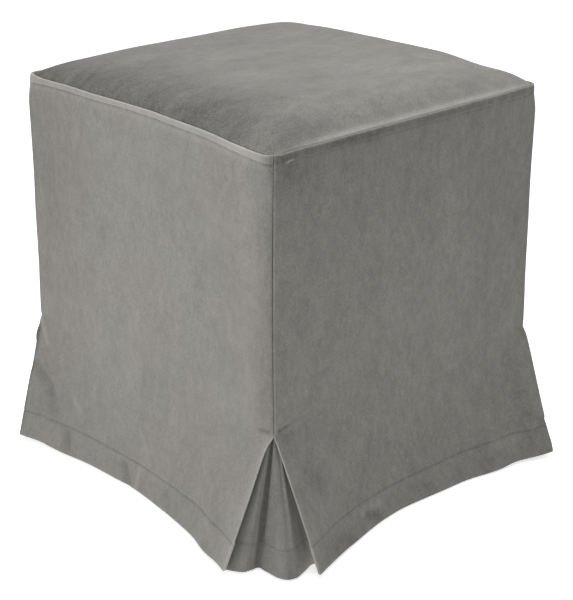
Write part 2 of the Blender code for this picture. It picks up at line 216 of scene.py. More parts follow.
@dataclass(frozen=True)
class SoftLight:
    """A large soft white light that looks at the pouf."""

    name: str
    place: Triple
    watts: float
    size: float = 1.8
    target: Triple = (0.0, 0.0, 0.22)

    def build(self) -> None:
        """Makes the light."""
        data = bpy.data.lights.new(self.name, "AREA")
        data.shape = "DISK"
        data.size = self.size
        data.energy = self.watts
        made = bpy.data.objects.new(self.name, data)
        turn = (Vector(self.target) - Vector(self.place)).to_track_quat("-Z", "Y")
        made.matrix_world = Matrix.Translation(self.place) @ turn.to_matrix().to_4x4()
        bpy.context.scene.collection.objects.link(made)


@dataclass(frozen=True)
class Studio:
    """A white floor, a dim surround and four soft lights."""

    floor_half: float = 6.0
    floor_white: float = 0.86
    floor_glow: float = 0.66
    surround: float = 0.20
    lights: tuple[SoftLight, ...] = (
        SoftLight("front_low", (-0.6, -2.8, 0.7), 41.0),
        SoftLight("beside_camera", (1.6, -1.6, 1.8), 6.1),
        SoftLight("overhead", (0.0, 0.0, 3.0), 61.0),
        SoftLight("over_back", (0.4, 1.8, 2.4), 12.0),
    )

    def build(self) -> None:
        """Makes the floor, the surround and the lights."""
        self.build_floor()
        for light in self.lights:
            light.build()
        world = bpy.data.worlds.new("surround")
        world.use_nodes = True
        background = world.node_tree.nodes["Background"]
        background.inputs["Color"].default_value = (1, 1, 1, 1)
        background.inputs["Strength"].default_value = self.surround
        bpy.context.scene.world = world
        bpy.context.scene.view_settings.view_transform = "Standard"

    def build_floor(self) -> None:
        """Makes the pale floor, which glows a little so that its shadows stay faint."""
        shape = bmesh.new()
        bmesh.ops.create_grid(shape, x_segments=1, y_segments=1, size=self.floor_half)
        floor = add_piece("studio_floor", shape)
        board = NodeBoard("studio floor")
        board.fill(
            board.shader,
            {
                "Base Color": (*[self.floor_white] * 3, 1),
                "Roughness": 1.0,
                "Specular IOR Level": 0.0,
                "Emission Color": (1, 1, 1, 1),
                "Emission Strength": self.floor_glow,
            },
        )
        floor.data.materials.append(board.material)


# ---- the finishes


class NodeBoard:
    """A new material and its nodes, added one by one."""

    def __init__(self, name: str) -> None:
        """Makes the material.

        Args:
            name: its name.
        """
        self.material = bpy.data.materials.new(name)
        self.material.use_nodes = True
        self.tree = self.material.node_tree
        self.shader = self.tree.nodes["Principled BSDF"]

    def fill(self, node: bpy.types.Node, inputs: dict[str | int, object]) -> None:
        """Sets or links a node's inputs.

        Args:
            node: the node.
            inputs: a value, or an output to link, for each input that changes.
        """
        for name, value in inputs.items():
            if isinstance(value, Socket):
                self.tree.links.new(value, node.inputs[name])
            else:
                node.inputs[name].default_value = value

    def add(self, kind: str, inputs: dict[str | int, object], **settings: object) -> bpy.types.Node:
        """Adds one node.

        Args:
            kind: the node's type, without the words that every type begins with.
            inputs: a value, or an output to link, for each input that changes.
            settings: its properties and their values.

        Returns:
            The new node.
        """
        made = self.tree.nodes.new(f"ShaderNode{kind}")
        for name, value in settings.items():
            setattr(made, name, value)
        self.fill(made, inputs)
        return made

    def coordinates(self) -> Socket:
        """Gives the piece's own coordinates, in metres."""
        return self.add("TexCoord", {}).outputs["Object"]

    def cloud(self, where: Socket, scale: Triple, detail: float) -> Socket:
        """Adds smooth noise.

        Args:
            where: the coordinates that it reads.
            scale: swellings per metre along X, Y and Z.
            detail: how many finer layers it has.

        Returns:
            The noise's value, around 0.5.
        """
        scaled = self.add("Mapping", {"Vector": where, "Scale": scale}).outputs["Vector"]
        return self.add("TexNoise", {"Vector": scaled, "Scale": 1.0, "Detail": detail}).outputs["Fac"]

    def weigh(self, value: Socket, weight: float, total: Socket | float) -> Socket:
        """Adds (value - 0.5) times weight to a running total.

        Args:
            value: noise around 0.5.
            weight: how strongly it counts.
            total: the sum so far.

        Returns:
            The new total.
        """
        centred = self.add("Math", {0: value, 1: weight, 2: -weight / 2}, operation="MULTIPLY_ADD")
        return self.add("Math", {0: centred.outputs[0], 1: total}, operation="ADD").outputs[0]

    def blend(self, share: Socket, first: Triple, second: Triple) -> Socket:
        """Mixes two colours.

        Args:
            share: how much of the second colour shows.
            first: the first colour.
            second: the second colour.

        Returns:
            The mixed colour.
        """
        inputs = {0: share, 6: (*first, 1), 7: (*second, 1)}
        return self.add("Mix", inputs, data_type="RGBA").outputs[2]


@dataclass(frozen=True)
class Cloud:
    """One layer of light and dark in the pile."""

    scale: Triple  # swellings per metre along X, Y and Z
    weight: float
    detail: float = 2.0


@dataclass(frozen=True)
class Velvet:
    """Brushed velvet: its colour, the marks in its pile and its sheen."""

    name: str
    slot: str
    colour: Triple
    clouds: tuple[Cloud, ...]
    warm: Triple = (1.010, 1.000, 0.990)  # the tints that it drifts between
    cool: Triple = (0.993, 1.000, 1.006)
    drift: Triple = (9.0, 9.0, 7.0)
    drift_detail: float = 1.0
    roughness: float = 0.85
    specular: float = 0.15
    sheen: float = 0.22
    sheen_roughness: float = 0.42
    sheen_tint: Triple = (0.93, 0.92, 0.90)
    grain: Triple = (1500.0, 1500.0, 1500.0)  # tufts of pile per metre
    grain_detail: float = 1.0
    grain_bump: float = 0.00018
    brush: Triple = (190.0, 190.0, 60.0)
    brush_detail: float = 3.0
    brush_bump: float = 0.00022
    bump_strength: float = 0.6

    def material(self) -> Material:
        """Makes the finish as a node material.

        Returns:
            The material.
        """
        board = NodeBoard(self.name)
        where = board.coordinates()
        board.fill(
            board.shader,
            {
                "Base Color": self.colour_nodes(board, where),
                "Normal": self.bump_nodes(board, where),
                "Roughness": self.roughness,
                "Specular IOR Level": self.specular,
                "Sheen Weight": self.sheen,
                "Sheen Roughness": self.sheen_roughness,
                "Sheen Tint": (*self.sheen_tint, 1),
            },
        )
        return board.material

    def colour_nodes(self, board: NodeBoard, where: Socket) -> Socket:
        """Mixes the warm and cool tints, and lightens and darkens them by the pile's marks and by the painted
        light and shade.

        Args:
            board: the material's nodes.
            where: the piece's coordinates.

        Returns:
            The colour.
        """
        marks: Socket | float = 1.0
        for cloud in self.clouds:
            marks = board.weigh(board.cloud(where, cloud.scale, cloud.detail), cloud.weight, marks)
        # the painted light and shade, added to the pile's marks
        painted = board.add("Attribute", {}, attribute_name=PAINTED_LIGHT).outputs["Fac"]
        lit = board.add("Math", {0: painted, 1: marks}, operation="ADD").outputs[0]
        cool, warm = (tuple(np.multiply(self.colour, tint)) for tint in (self.cool, self.warm))
        tinted = board.blend(board.cloud(where, self.drift, self.drift_detail), cool, warm)
        return board.add("VectorMath", {0: tinted, "Scale": lit}, operation="SCALE").outputs[0]

    def bump_nodes(self, board: NodeBoard, where: Socket) -> Socket:
        """Raises the fine pile and its brushed tufts.

        Args:
            board: the material's nodes.
            where: the piece's coordinates.

        Returns:
            The normal.
        """
        fine = {"Height": board.cloud(where, self.grain, self.grain_detail), "Distance": self.grain_bump}
        broad = {"Height": board.cloud(where, self.brush, self.brush_detail), "Distance": self.brush_bump}
        pile = board.add("Bump", {"Strength": self.bump_strength, **fine}).outputs["Normal"]
        return board.add("Bump", {"Strength": self.bump_strength, "Normal": pile, **broad}).outputs["Normal"]


@dataclass(frozen=True)
class Twist:
    """Sewing thread: a plain grey with its plies showing."""

    name: str = "sewing thread"
    slot: str = "side_velvet"
    dark: Triple = (0.085, 0.082, 0.078)
    light: Triple = (0.190, 0.186, 0.176)
    plies: Triple = (1400.0, 1400.0, 1400.0)
    ply_detail: float = 1.0
    roughness: float = 0.6

    def material(self) -> Material:
        """Makes the finish as a node material.

        Returns:
            The material.
        """
        board = NodeBoard(self.name)
        plies = board.cloud(board.coordinates(), self.plies, self.ply_detail)
        colour = board.blend(plies, self.dark, self.light)
        board.fill(board.shader, {"Base Color": colour, "Roughness": self.roughness})
        return board.material


# ---- the cover


@dataclass(frozen=True)
class Bell:
    """A soft rise (amount above 0) or dip, which fades on both sides of its middle."""

    amount: float
    width: float
    middle: float = 0.0

    def at(self, place: Numbers) -> Numbers:
        """Gives how much of it is felt at a place."""
        return self.amount * hump((place - self.middle) / self.width)


@dataclass(frozen=True)
class Fold:
    """A soft ridge (height above 0) or trough (below 0) that runs down the skirt of a panel."""

    top_across: float
    hem_across: float
    width: float
    height: float
    start: float


@dataclass(frozen=True)
class SkirtEnd:
    """One end of a skirt, beside a slit."""

    edge: float  # its place along the side, at the hem
    reach: float  # the hem's distance from the pouf's middle there
    power: float  # how sharply the hem turns out towards it
    bow: float = 0.0  # how far the slit's edge bows out, most near its top


@dataclass(frozen=True)
class Skirt:
    """How the open part of one panel hangs. The low place is where its hem stands in the most."""

    low_across: float
    low_reach: float
    left: SkirtEnd
    right: SkirtEnd
    folds: tuple[Fold, ...]
    bow_drop: float = 0.125  # the share of the drop at which the slits bow out most

    def hem_reach(self, across: Numbers) -> Numbers:
        """Gives how far the hem stands from the pouf's middle, without its folds.

        Args:
            across: the places along the side.

        Returns:
            One distance for each place.
        """
        reaches = []
        for end in (self.left, self.right):
            share = np.clip((across - self.low_across) / (end.edge - self.low_across), 0, None)
            reaches.append(mix(self.low_reach, end.reach, share**end.power))
        return np.where(across < self.low_across, *reaches)


@dataclass(frozen=True)
class Crease:
    """A short ridge or trough, laid between two places on a panel given as (across, cloth length)."""

    start: Pair
    end: Pair
    width: float
    height: float
    shade: float = 0.0  # painted light along it where above 0, painted shade where below

    def strength(self, across: Array, length: Array) -> Array:
        """Gives how strongly the crease is felt at places on the cloth.

        Args:
            across: the places along the side.
            length: the cloth's lengths above the hem.

        Returns:
            One value for each place, from 0 to 1.
        """
        start = np.array(self.start)
        run = np.array(self.end) - start
        span = float(np.hypot(*run))
        step = np.stack([across, length], 1) - start
        along = step @ run / span
        aside = np.abs(step[:, 0] * run[1] - step[:, 1] * run[0]) / span
        past = np.maximum(np.maximum(-along, along - span), 0)
        return hump(np.hypot(aside, past) / self.width)


@dataclass(frozen=True)
class Shade:
    """A patch of painted light where its amount is above 0 and painted shade where below, at a place given by
    two distances.
    """

    place: Pair
    spread: Pair
    amount: float

    def painted_light(self, across: Array, up: Array) -> Array:
        """Gives the painted light and shade that it adds at places."""
        aside, above = (across - self.place[0]) / self.spread[0], (up - self.place[1]) / self.spread[1]
        return self.amount * hump(np.hypot(aside, above))


@dataclass(frozen=True)
class EdgeLook:
    """Painted light and shade beside an edge: in a thin line on its fold, a painted highlight where above 0,
    and in a soft band next to it.
    """

    line: float = 0.0
    band: float = 0.0
    band_width: float = 0.010
    line_width: float = 0.0012

    def painted_light(self, inside: Array) -> Array:
        """Gives the painted light and shade at distances inside the edge."""
        return self.line * hump(inside / self.line_width) + self.band * hump(inside / self.band_width)


@dataclass(frozen=True)
class Cover:
    """The sizes that the panels, the inserts and the filled body share, to the outer face of the cloth."""

    top_half: float = 0.2030
    pleat_half: float = 0.2062
    waist_z: float = 0.270
    swell: Bell = Bell(0.0013, 0.050, 0.260)  # how far the sides swell out below the middle
    pleat_z: float = 0.145
    stitch_z: float = 0.430
    slit: float = 0.1520
    hem_depth: float = 0.0310
    hem_turn: float = 0.0285  # the cloth inside a hem, beyond its turn
    hem_clear: float = 0.0036  # the evenly spaced rows end this far below a hem's stitches
    hem_rows: tuple[float, ...] = (-0.0024, -0.0014, -0.0007, 0.0, 0.0007, 0.0014, 0.0026)  # and these follow
    side_bulge: float = 0.0025
    corner_radius: float = 0.0050
    top_corner_radius: float = 0.0140
    rounding_z: Pair = (0.4060, 0.4385)  # the heights between which the corners grow rounder
    seam_gap: float = 0.00012
    leans: tuple[Pair, ...] = ((0.0, 0.0), (0.145, 0.0013), (0.300, -0.0005), (0.430, -0.0016))
    bow: Bell = Bell(0.0010, 0.022)  # how far the near corner's seam bows to the left
    front_drift: tuple[Triple, ...] = (  # how the front's top wanders: (across, stitching up, ridge up)
        (-0.230, 0.0000, 0.0000), (-0.200, 0.0000, 0.0000), (-0.170, 0.0027, -0.0005),
        (-0.125, 0.0045, 0.0013), (-0.077, 0.0049, 0.0016), (-0.030, 0.0066, 0.0030),
        (0.014, 0.0073, 0.0038), (0.060, 0.0060, 0.0029), (0.104, 0.0048, 0.0018),
        (0.150, 0.0006, -0.0015), (0.185, -0.0015, -0.0028), (0.203, -0.0004, -0.0006),
        (0.230, 0.0000, 0.0000),
    )
    drift_half: float = 0.172  # the drift fades inwards from the front side to this line
    drift_fade: float = 0.024
    drift_low_z: float = 0.385
    band_height: float = 0.0088
    corner_lift: Bell = Bell(0.0012, 0.030)  # how much higher the edge stands at the left and right corners

    @property
    def stitch_row(self) -> float:
        """The cloth's length from the hem to the top stitching."""
        return self.slit + self.stitch_z - self.pleat_z

    @property
    def mitre(self) -> float:
        """The share of a corner's radius that its 45 degree line cuts off."""
        return 1 - math.sqrt(0.5)

    def half(self, height: Numbers) -> Numbers:
        """Gives half the cover's width at a height above the pleats' opening."""
        widened = smooth_step((self.waist_z - height) / (self.waist_z - self.pleat_z))
        return mix(self.top_half, self.pleat_half, widened) + self.swell.at(height)

    def rounding(self, height: Numbers) -> Numbers:
        """Gives the radius of the vertical corners at a height."""
        low, high = self.rounding_z
        return mix(self.corner_radius, self.top_corner_radius, smooth_step((height - low) / (high - low)))

    def arch(self, height: Numbers) -> Numbers:
        """Gives 0 at the pleats' opening and at the top stitching, and rises to 1 between them."""
        return np.sin(math.pi * np.clip((height - self.pleat_z) / (self.stitch_z - self.pleat_z), 0, 1))

    def bulge(self, across: Numbers, height: Numbers) -> Numbers:
        """Gives how far the filling pushes a side out at a place on it."""
        return self.side_bulge * self.arch(height) * (1 - np.square(across / self.pleat_half))

    def corner_drop(self, across: Array, height: Array) -> Array:
        """Gives how far the rounded corner takes a side's outer face back.

        Args:
            across: the places along the side.
            height: their heights.

        Returns:
            One distance for each place.
        """
        radius = self.rounding(height)
        past = np.maximum(np.abs(across) - (self.half(height) - radius), 0)
        return radius - np.sqrt(np.maximum(radius * radius - past * past, 0))

    def settle(self, points: Array) -> Array:
        """Leans points as the whole cover leans, and bows the near corner's seam.

        Args:
            points: one row for each point.

        Returns:
            The moved points.
        """
        heights, shifts = zip(*self.leans)
        moved = points.copy()
        moved[:, :2] += np.interp(points[:, 2], heights, shifts)[:, None]
        from_seam = np.hypot(points[:, 0] - self.top_half, points[:, 1] + self.top_half)
        bowed = self.arch(points[:, 2]) * self.bow.at(from_seam) * math.sqrt(0.5)
        moved[:, :2] -= bowed[:, None]
        moved[:, 2] += self.drift(points)
        return moved

    def drift(self, points: Array) -> Array:
        """Gives how far the hand-guided top seam lies above or below its straight line.

        Args:
            points: one row for each point.

        Returns:
            One height for each point.
        """
        across, low, high = smooth_profile(self.front_drift).T
        up_band = np.clip((points[:, 2] - self.stitch_z) / self.band_height, 0, 1)
        rise = mix(np.interp(points[:, 0], across, low), np.interp(points[:, 0], across, high), up_band)
        near_front = smooth_step((-points[:, 1] - self.drift_half) / self.drift_fade)
        near_front *= smooth_step((points[:, 2] - self.drift_low_z) / (self.stitch_z - self.drift_low_z))
        from_corner = np.hypot(*(np.abs(points[:, :2]) - self.top_half).T)
        lifted = up_band * self.corner_lift.at(from_corner)
        return rise * near_front + lifted * (points[:, 0] * points[:, 1] > 0)


COVER = Cover()


def flat_grid(columns: Array, rows: Array) -> tuple[Shape, Array, Array]:
    """Makes a flat sheet of faces.

    Args:
        columns: the value that each column of points stands for.
        rows: the value that each row of points stands for.

    Returns:
        The sheet, and the column's and the row's value at each of its points.
    """
    shape = bmesh.new()
    bmesh.ops.create_grid(shape, x_segments=len(columns) - 1, y_segments=len(rows) - 1, size=1.0)
    places = (np.array([vertex.co[:2] for vertex in shape.verts]) + 1) / 2
    column = columns[np.rint(places[:, 0] * (len(columns) - 1)).astype(int)]
    return shape, column, rows[np.rint(places[:, 1] * (len(rows) - 1)).astype(int)]


def lay(shape: Shape, points: Array, painted_light: Array) -> None:
    """Puts a sheet's points in their places and paints their light and shade.

    Args:
        shape: the sheet.
        points: the place of each point.
        painted_light: the painted light and shade there, how much lighter or darker.
    """
    layer = shape.verts.layers.float.new(PAINTED_LIGHT)
    for vertex, point, shade in zip(shape.verts, points, painted_light):
        vertex.co = point
        vertex[layer] = shade


def make_sheet(
    name: str,
    columns: Array,
    rows: Array,
    place: Callable[[Array, Array], tuple[Array, Array]],
    cloth: float,
    skip: Callable[[Array, Array], Array] | None = None,
) -> Piece:
    """Makes a sheet of cloth and puts its points in their places.

    Args:
        name: the piece's name.
        columns: the value that each column of points stands for.
        rows: the value that each row of points stands for.
        place: gives the points and the painted light and shade of some columns and rows.
        cloth: the thickness, inwards from the outer face.
        skip: tells which points, if any, are left out.

    Returns:
        The new object.
    """
    shape, column, row = flat_grid(columns, rows)
    lay(shape, *place(column, row))
    if skip is not None:
        left_out = [vertex for vertex, out in zip(shape.verts[:], skip(column, row)) if out]
        bmesh.ops.delete(shape, geom=left_out, context="VERTS")
    piece = add_piece(name, shape)
    solid = piece.modifiers.new("cloth", "SOLIDIFY")
    solid.thickness = cloth
    solid.offset = -1.0
    solid.use_even_offset = False
    return piece


@dataclass(frozen=True)
class TurnedEdge:
    """An edge of cloth that turns in on itself."""

    radius: float = 0.00112
    steps: int = 6
    inner_rows: int = 8

    def place(
        self, amount: Array, turn: Numbers, beyond: Numbers, radius: Numbers | None = None
    ) -> tuple[Array, Array]:
        """Finds where turned cloth lies.

        Args:
            amount: from 0 to 1 round the turn, and to 2 along the cloth beyond it.
            turn: the angle that it turns through.
            beyond: the length of the cloth beyond the turn.
            radius: the turn's radius, where it isn't the usual one.

        Returns:
            How far in from the edge it lies, and how far behind the outer face.
        """
        radius = self.radius if radius is None else radius
        angle = np.clip(amount, 0, 1) * turn
        rest = np.clip(amount - 1, 0, 1) * beyond
        inward = radius * (1 - np.sin(angle)) - np.cos(angle) * rest
        depth = radius * (1 - np.cos(angle)) + np.sin(angle) * rest
        return inward, depth

    def hem_rows(self, count: int) -> Array:
        """Gives the rows of a hem: the cloth's length above it, and below 0 its turn and its inner layer.

        Args:
            count: how many rows lie evenly between the turn and the stitches.

        Returns:
            The rows, from the inner layer's end to just above the stitches.
        """
        beyond = -2 + np.arange(self.inner_rows) / self.inner_rows
        turn = -np.arange(self.steps, 0, -1) / self.steps
        low = np.linspace(self.radius, COVER.hem_depth - COVER.hem_clear, count)
        return np.concatenate([beyond, turn, low, COVER.hem_depth + np.array(COVER.hem_rows)])

    def on_hem(self, row: Array) -> tuple[Array, Array]:
        """Turns rows into lengths above the hem, and depths behind the outer face."""
        inward, depth = self.place(-row, math.pi, COVER.hem_turn)
        return np.where(row > 0, row, inward), np.where(row > 0, 0.0, depth)


@dataclass(frozen=True)
class Seamstress:
    """The thread and how it is sewn."""

    pitch: float = 0.0030
    length: float = 0.0021
    width: float = 0.00055
    height: float = 0.00040
    lift: float = 0.00005
    twist: Twist = Twist()

    def sew(self, name: str, lines: Sequence[tuple[Array, Array, Array]]) -> Piece:
        """Sews rows of stitches as one piece.

        Args:
            name: the piece's name.
            lines: the points, sewing directions and outward directions of each row.

        Returns:
            The stitches.
        """
        shape = bmesh.new()
        for point, along, out in (map(Vector, place) for line in lines for place in zip(*line)):
            side = out.cross(along).normalized()
            out = along.cross(side)
            axes = Matrix((along * self.length / 2, side * self.width / 2, out * self.height / 2))
            matrix = Matrix.Translation(point + out * self.lift) @ axes.transposed().to_4x4()
            bmesh.ops.create_icosphere(shape, subdivisions=1, radius=1.0, matrix=matrix)
        return add_piece(name, shape)


@dataclass(frozen=True)
class SidePanel:
    """One side panel of the cover, from its hem to the ridge that its topstitched edge makes."""

    name: str
    along: Triple
    out: Triple
    skirt: Skirt
    velvet: Velvet
    creases: tuple[Crease, ...]
    seed: float
    shades: tuple[Shade, ...] = ()
    hem_z: Pair = (0.0020, 0.0080)  # the hem's height in the middle and at the slits
    hem_rise_power: float = 2.5
    hang: Pair = (2.1, 1.0)  # how late the cloth flares: in the middle, and straight down at the slits
    middle_share: float = 0.45
    mitre_fade: float = 0.012
    mitred_share: float = 0.97
    stitch_pull: float = 0.006
    pull_power: int = 3
    edge_profile: tuple[Pair, ...] = (  # (proud of the side, above the stitching)
        (-0.0009, 0.0000), (0.0008, 0.0012), (0.0012, 0.0038), (0.0008, 0.0066), (-0.0004, 0.0084),
        (-0.0018, 0.0089), (-0.0031, 0.0081), (-0.0037, 0.0064), (-0.0038, 0.0045),
    )
    corner_from: float = 0.88  # near a corner the ridge flattens from this share of the half width
    corner_span: float = 0.10
    ridge_flat: float = 0.85
    groove_flat: float = 0.70
    groove_top: float = 0.001
    seam_ridge: Bell = Bell(0.0005, 0.0011, 0.0018)  # the seam's turnings raise the left edge
    seam_start: float = 0.004
    seam_radius: float = 0.0002
    hem_groove: Bell = Bell(-0.00035, 0.0010)
    hem_swell: Bell = Bell(0.00015, 0.0030, -0.0035)
    broad_wave: Pair = (0.00028, 0.055)  # (height, size) of the cloth's slight waves
    fine_wave: Pair = (0.00010, 0.018)
    pucker: Pair = (0.00022, 0.0075)
    edge_wave: float = 0.00030  # the fine waves' height on the edge, which begins just below its stitches
    wave_edge: float = -0.002
    wave_fade: float = 0.003
    wave_squeeze: float = 0.6
    loose_wave: float = 1.3  # how much higher they get towards the hem
    fine_seed: float = 5.0
    pucker_seed: float = 9.0
    pucker_squeeze: float = 2.0
    # painted shade in the hem's and the top's stitch grooves, painted light just under the top stitching, a
    # painted highlight on the lip, and painted light and shade on the band
    hem_shade: Bell = Bell(-0.15, 0.0012)
    stitch_shade: Bell = Bell(-0.20, 0.0011)
    under_stitch_light: Bell = Bell(0.0, 0.0034, -0.0036)
    lip_highlight: Bell = Bell(0.10, 0.0017, 0.0103)
    band_light_and_shade: float = 0.0
    band_start: float = 0.0012
    # painted light and shade beside the seams and the slits: a thin line on each folded edge and a soft band
    # beside it
    left_seam: EdgeLook = EdgeLook()
    right_seam: EdgeLook = EdgeLook(band=-0.08)
    left_slit: EdgeLook = EdgeLook(line=0.25, band=0.04)
    right_slit: EdgeLook = EdgeLook(line=0.25, band=0.06)
    cloth: float = 0.0010
    turned: TurnedEdge = TurnedEdge()
    margin: float = 0.006  # the strip beside an edge that has its own narrow columns
    slit_turn: float = 0.010  # cloth turned back along a slit
    seam_turn: float = 0.0012  # and into a corner seam
    opening: float = 0.010  # length of cloth over which a seam's edge becomes a slit's
    stack: float = 0.0013  # how much further in the slit's turning lies over the hem
    stack_fade: float = 0.004
    column_pitch: float = 0.0025
    margin_columns: int = 7
    turned_columns: tuple[float, ...] = (0.25, 0.6, 1.0)
    skirt_pitch: float = 0.0025
    row_pitch: float = 0.0036
    hem_row_count: int = 12
    skirt_from: float = 0.0048  # the skirt's rows begin this far above the hem's stitches
    skirt_past: float = 0.016  # and end this far above the slit
    pulled_rows: tuple[float, ...] = (-0.0050, -0.0034, -0.0022, -0.0012, -0.0005)
    edge_row_count: int = 26
    top_end: float = 0.001  # the top stitches end this far from the corners, and the hem's and the seam's too
    hem_end: float = 0.002
    seam_end: float = 0.004
    seam_aside: float = 0.0004
    flat_size: Pair = (0.43, 0.50)

    # ---- where the cloth lies

    def plan(self, across: float, reach: float) -> Vector:
        """Gives the plan position of a place along the side and out from it."""
        return Vector(self.along) * across + Vector(self.out) * reach

    def edge(self, side: Numbers, length: Numbers) -> Array:
        """Gives how far along the side the panel's edge lies.

        Args:
            side: -1 for the left edge and 1 for the right one.
            length: the cloth's length above the hem.

        Returns:
            The distance from the panel's middle, always positive.
        """
        skirt, left = self.skirt, np.asarray(side) < 0
        height = COVER.pleat_z + length - COVER.slit
        sewn = COVER.half(height) - COVER.mitre * COVER.rounding(height) - COVER.seam_gap
        top = COVER.pleat_half - COVER.mitre * COVER.corner_radius - COVER.seam_gap
        bowed = np.clip(1 - length / COVER.slit, 0, 1) / skirt.bow_drop
        bow = np.where(left, skirt.left.bow, skirt.right.bow) * bowed * np.exp(1 - bowed)
        low = np.where(left, -skirt.left.edge, skirt.right.edge)
        free = mix(top, low, 1 - length / COVER.slit) + bow
        return np.where(np.asarray(length) < COVER.slit, free, sewn)

    def inside(self, across: Array, length: Array) -> Array:
        """Gives how far inside the nearer edge the places lie."""
        return self.edge(side_of(across), length) - np.abs(across)

    def opened(self, length: Array) -> Array:
        """Gives 0 where an edge is sewn to the next panel, and 1 where it is a slit's."""
        return smooth_step((COVER.slit + self.opening / 2 - length) / self.opening)

    def skirt_face(self, across: Numbers, length: Numbers) -> tuple[Numbers, Numbers]:
        """Finds the outer face below the pleats' opening.

        Args:
            across: the places along the side.
            length: the cloth's lengths above the hem.

        Returns:
            The face's distance from the pouf's middle, and its height.
        """
        drop = 1 - length / COVER.slit
        near_edge = np.minimum(np.abs(across) / COVER.pleat_half, 1.0)
        power = mix(*self.hang, smooth_step((near_edge - self.middle_share) / (1 - self.middle_share)))
        spread = self.skirt.hem_reach(across) - COVER.pleat_half
        reach = COVER.pleat_half + spread * np.clip(drop, 0, None) ** power
        for fold in self.skirt.folds:
            away = (across - mix(fold.top_across, fold.hem_across, drop)) / fold.width
            reach = reach + fold.height * smooth_step((drop - fold.start) / (1 - fold.start)) * hump(away)
        return reach, mix(COVER.pleat_z, mix(*self.hem_z, near_edge**self.hem_rise_power), drop)

    def edge_curve(self) -> tuple[Array, Array]:
        """Draws the top edge's profile.

        Returns:
            The curve's points, and the cloth's length from the top stitching to each.
        """
        curve = smooth_profile(self.edge_profile)
        steps = np.linalg.norm(np.diff(curve, axis=0), axis=1)
        return curve, np.concatenate([[0.0], np.cumsum(steps)])

    def edge_shape(self, above: Array) -> tuple[Array, Array]:
        """Finds the cloth along the top edge.

        Args:
            above: its lengths above the top stitching.

        Returns:
            How far it stands proud of the side, and its height above the stitching.
        """
        curve, lengths = self.edge_curve()
        proud, height = (np.interp(above, lengths, column) for column in curve.T)
        pulled = curve[0, 0] * smooth_step(1 + above / self.stitch_pull) ** self.pull_power
        return np.where(above < 0, pulled, proud), np.where(above < 0, above, height)

    def relief(self, across: Array, length: Array) -> Array:
        """Gives how far creases, stitch rows and the cloth's own slight waves raise or sink it.

        Args:
            across: the places along the side.
            length: the cloth's lengths above the hem.

        Returns:
            One distance for each place.
        """
        from_stitches = length - COVER.hem_depth
        total = sum(crease.height * crease.strength(across, length) for crease in self.creases)
        total = total + self.hem_groove.at(from_stitches) + self.hem_swell.at(from_stitches)
        sewn = smooth_step((length - COVER.slit) / self.seam_start) * (across < 0)
        total += self.seam_ridge.at(self.inside(across, length)) * sewn
        broad = ripple(across, length * self.wave_squeeze, self.broad_wave[1], self.seed)
        fine = ripple(across, length * self.wave_squeeze, self.fine_wave[1], self.seed + self.fine_seed)
        puckers = ripple(across, length * self.pucker_squeeze, self.pucker[1], self.seed + self.pucker_seed)
        loose = 1 + self.loose_wave * smooth_step((COVER.slit - length) / COVER.slit)
        free = self.broad_wave[0] * broad * loose + self.fine_wave[0] * fine
        band = smooth_step((length - COVER.stitch_row - self.wave_edge) / self.wave_fade)
        return total + mix(free, self.edge_wave * fine + self.pucker[0] * puckers, band)

    def outer_face(self, across: Array, length: Array) -> Array:
        """Finds points of the outer face.

        Args:
            across: the places along the side.
            length: the cloth's lengths above the hem.

        Returns:
            One row for each point.
        """
        side = side_of(across)
        share = np.abs(across) / self.edge(side, length)
        reach, height = self.skirt_face(across, length)
        mitred = smooth_step((share - self.mitred_share) / (1 - self.mitred_share))
        fade = smooth_step(1 + (length - COVER.slit) / self.mitre_fade)
        reach = reach - COVER.mitre * COVER.corner_radius * fade * mitred
        proud, above = self.edge_shape(length - COVER.stitch_row)
        corner = smooth_step((share - self.corner_from) / self.corner_span)
        groove = np.where(above < self.groove_top, self.groove_flat, 0.0)
        proud = proud * (1 - np.where(proud > 0, self.ridge_flat, groove) * corner)
        below = COVER.pleat_z + length - COVER.slit
        side_z = np.where(length > COVER.stitch_row, COVER.stitch_z + above, below)
        sewn_reach = COVER.half(side_z) + COVER.bulge(across, side_z) - COVER.corner_drop(across, side_z)
        sewn_reach += proud
        sewn = length >= COVER.slit
        reach = np.where(sewn, sewn_reach, reach) + self.relief(across, length)
        along = np.where(sewn, across + side * share * proud, across)
        points = along[:, None] * np.array(self.along) + reach[:, None] * np.array(self.out)
        points[:, 2] += np.where(sewn, side_z, height)
        return COVER.settle(points)

    def frames(self, across: Array, length: Array, step: float = 0.0004) -> tuple[Array, Array, Array, Array]:
        """Finds points of the outer face and the directions there.

        Args:
            across: the places along the side.
            length: the cloth's lengths above the hem.
            step: the small distance over which the directions are taken.

        Returns:
            The points, and the directions along, up and out, one row each.
        """
        side = side_of(across)
        points = self.outer_face(across, length)
        along = unit((points - self.outer_face(across - side * step, length)) * side[:, None])
        low = self.outer_face(across, np.maximum(length - step, 0))
        up = unit(self.outer_face(across, length + step) - low)
        return points, along, up, unit(np.cross(along, up))

    # ---- the piece

    def columns(self) -> Array:
        """Gives the columns.

        Returns:
            -1 to 1 across the middle, and past them 1 to the turn, 1 round it and 1 beyond it.
        """
        count = round(2 * (COVER.top_half - self.margin) / self.column_pitch)
        flat = 1 + np.arange(1, self.margin_columns + 1) / self.margin_columns
        turn = 2 + np.arange(1, self.turned.steps + 1) / self.turned.steps
        side = np.concatenate([flat, turn, 3 + np.array(self.turned_columns)])
        return np.concatenate([-side[::-1], np.linspace(-1, 1, count + 1), side])

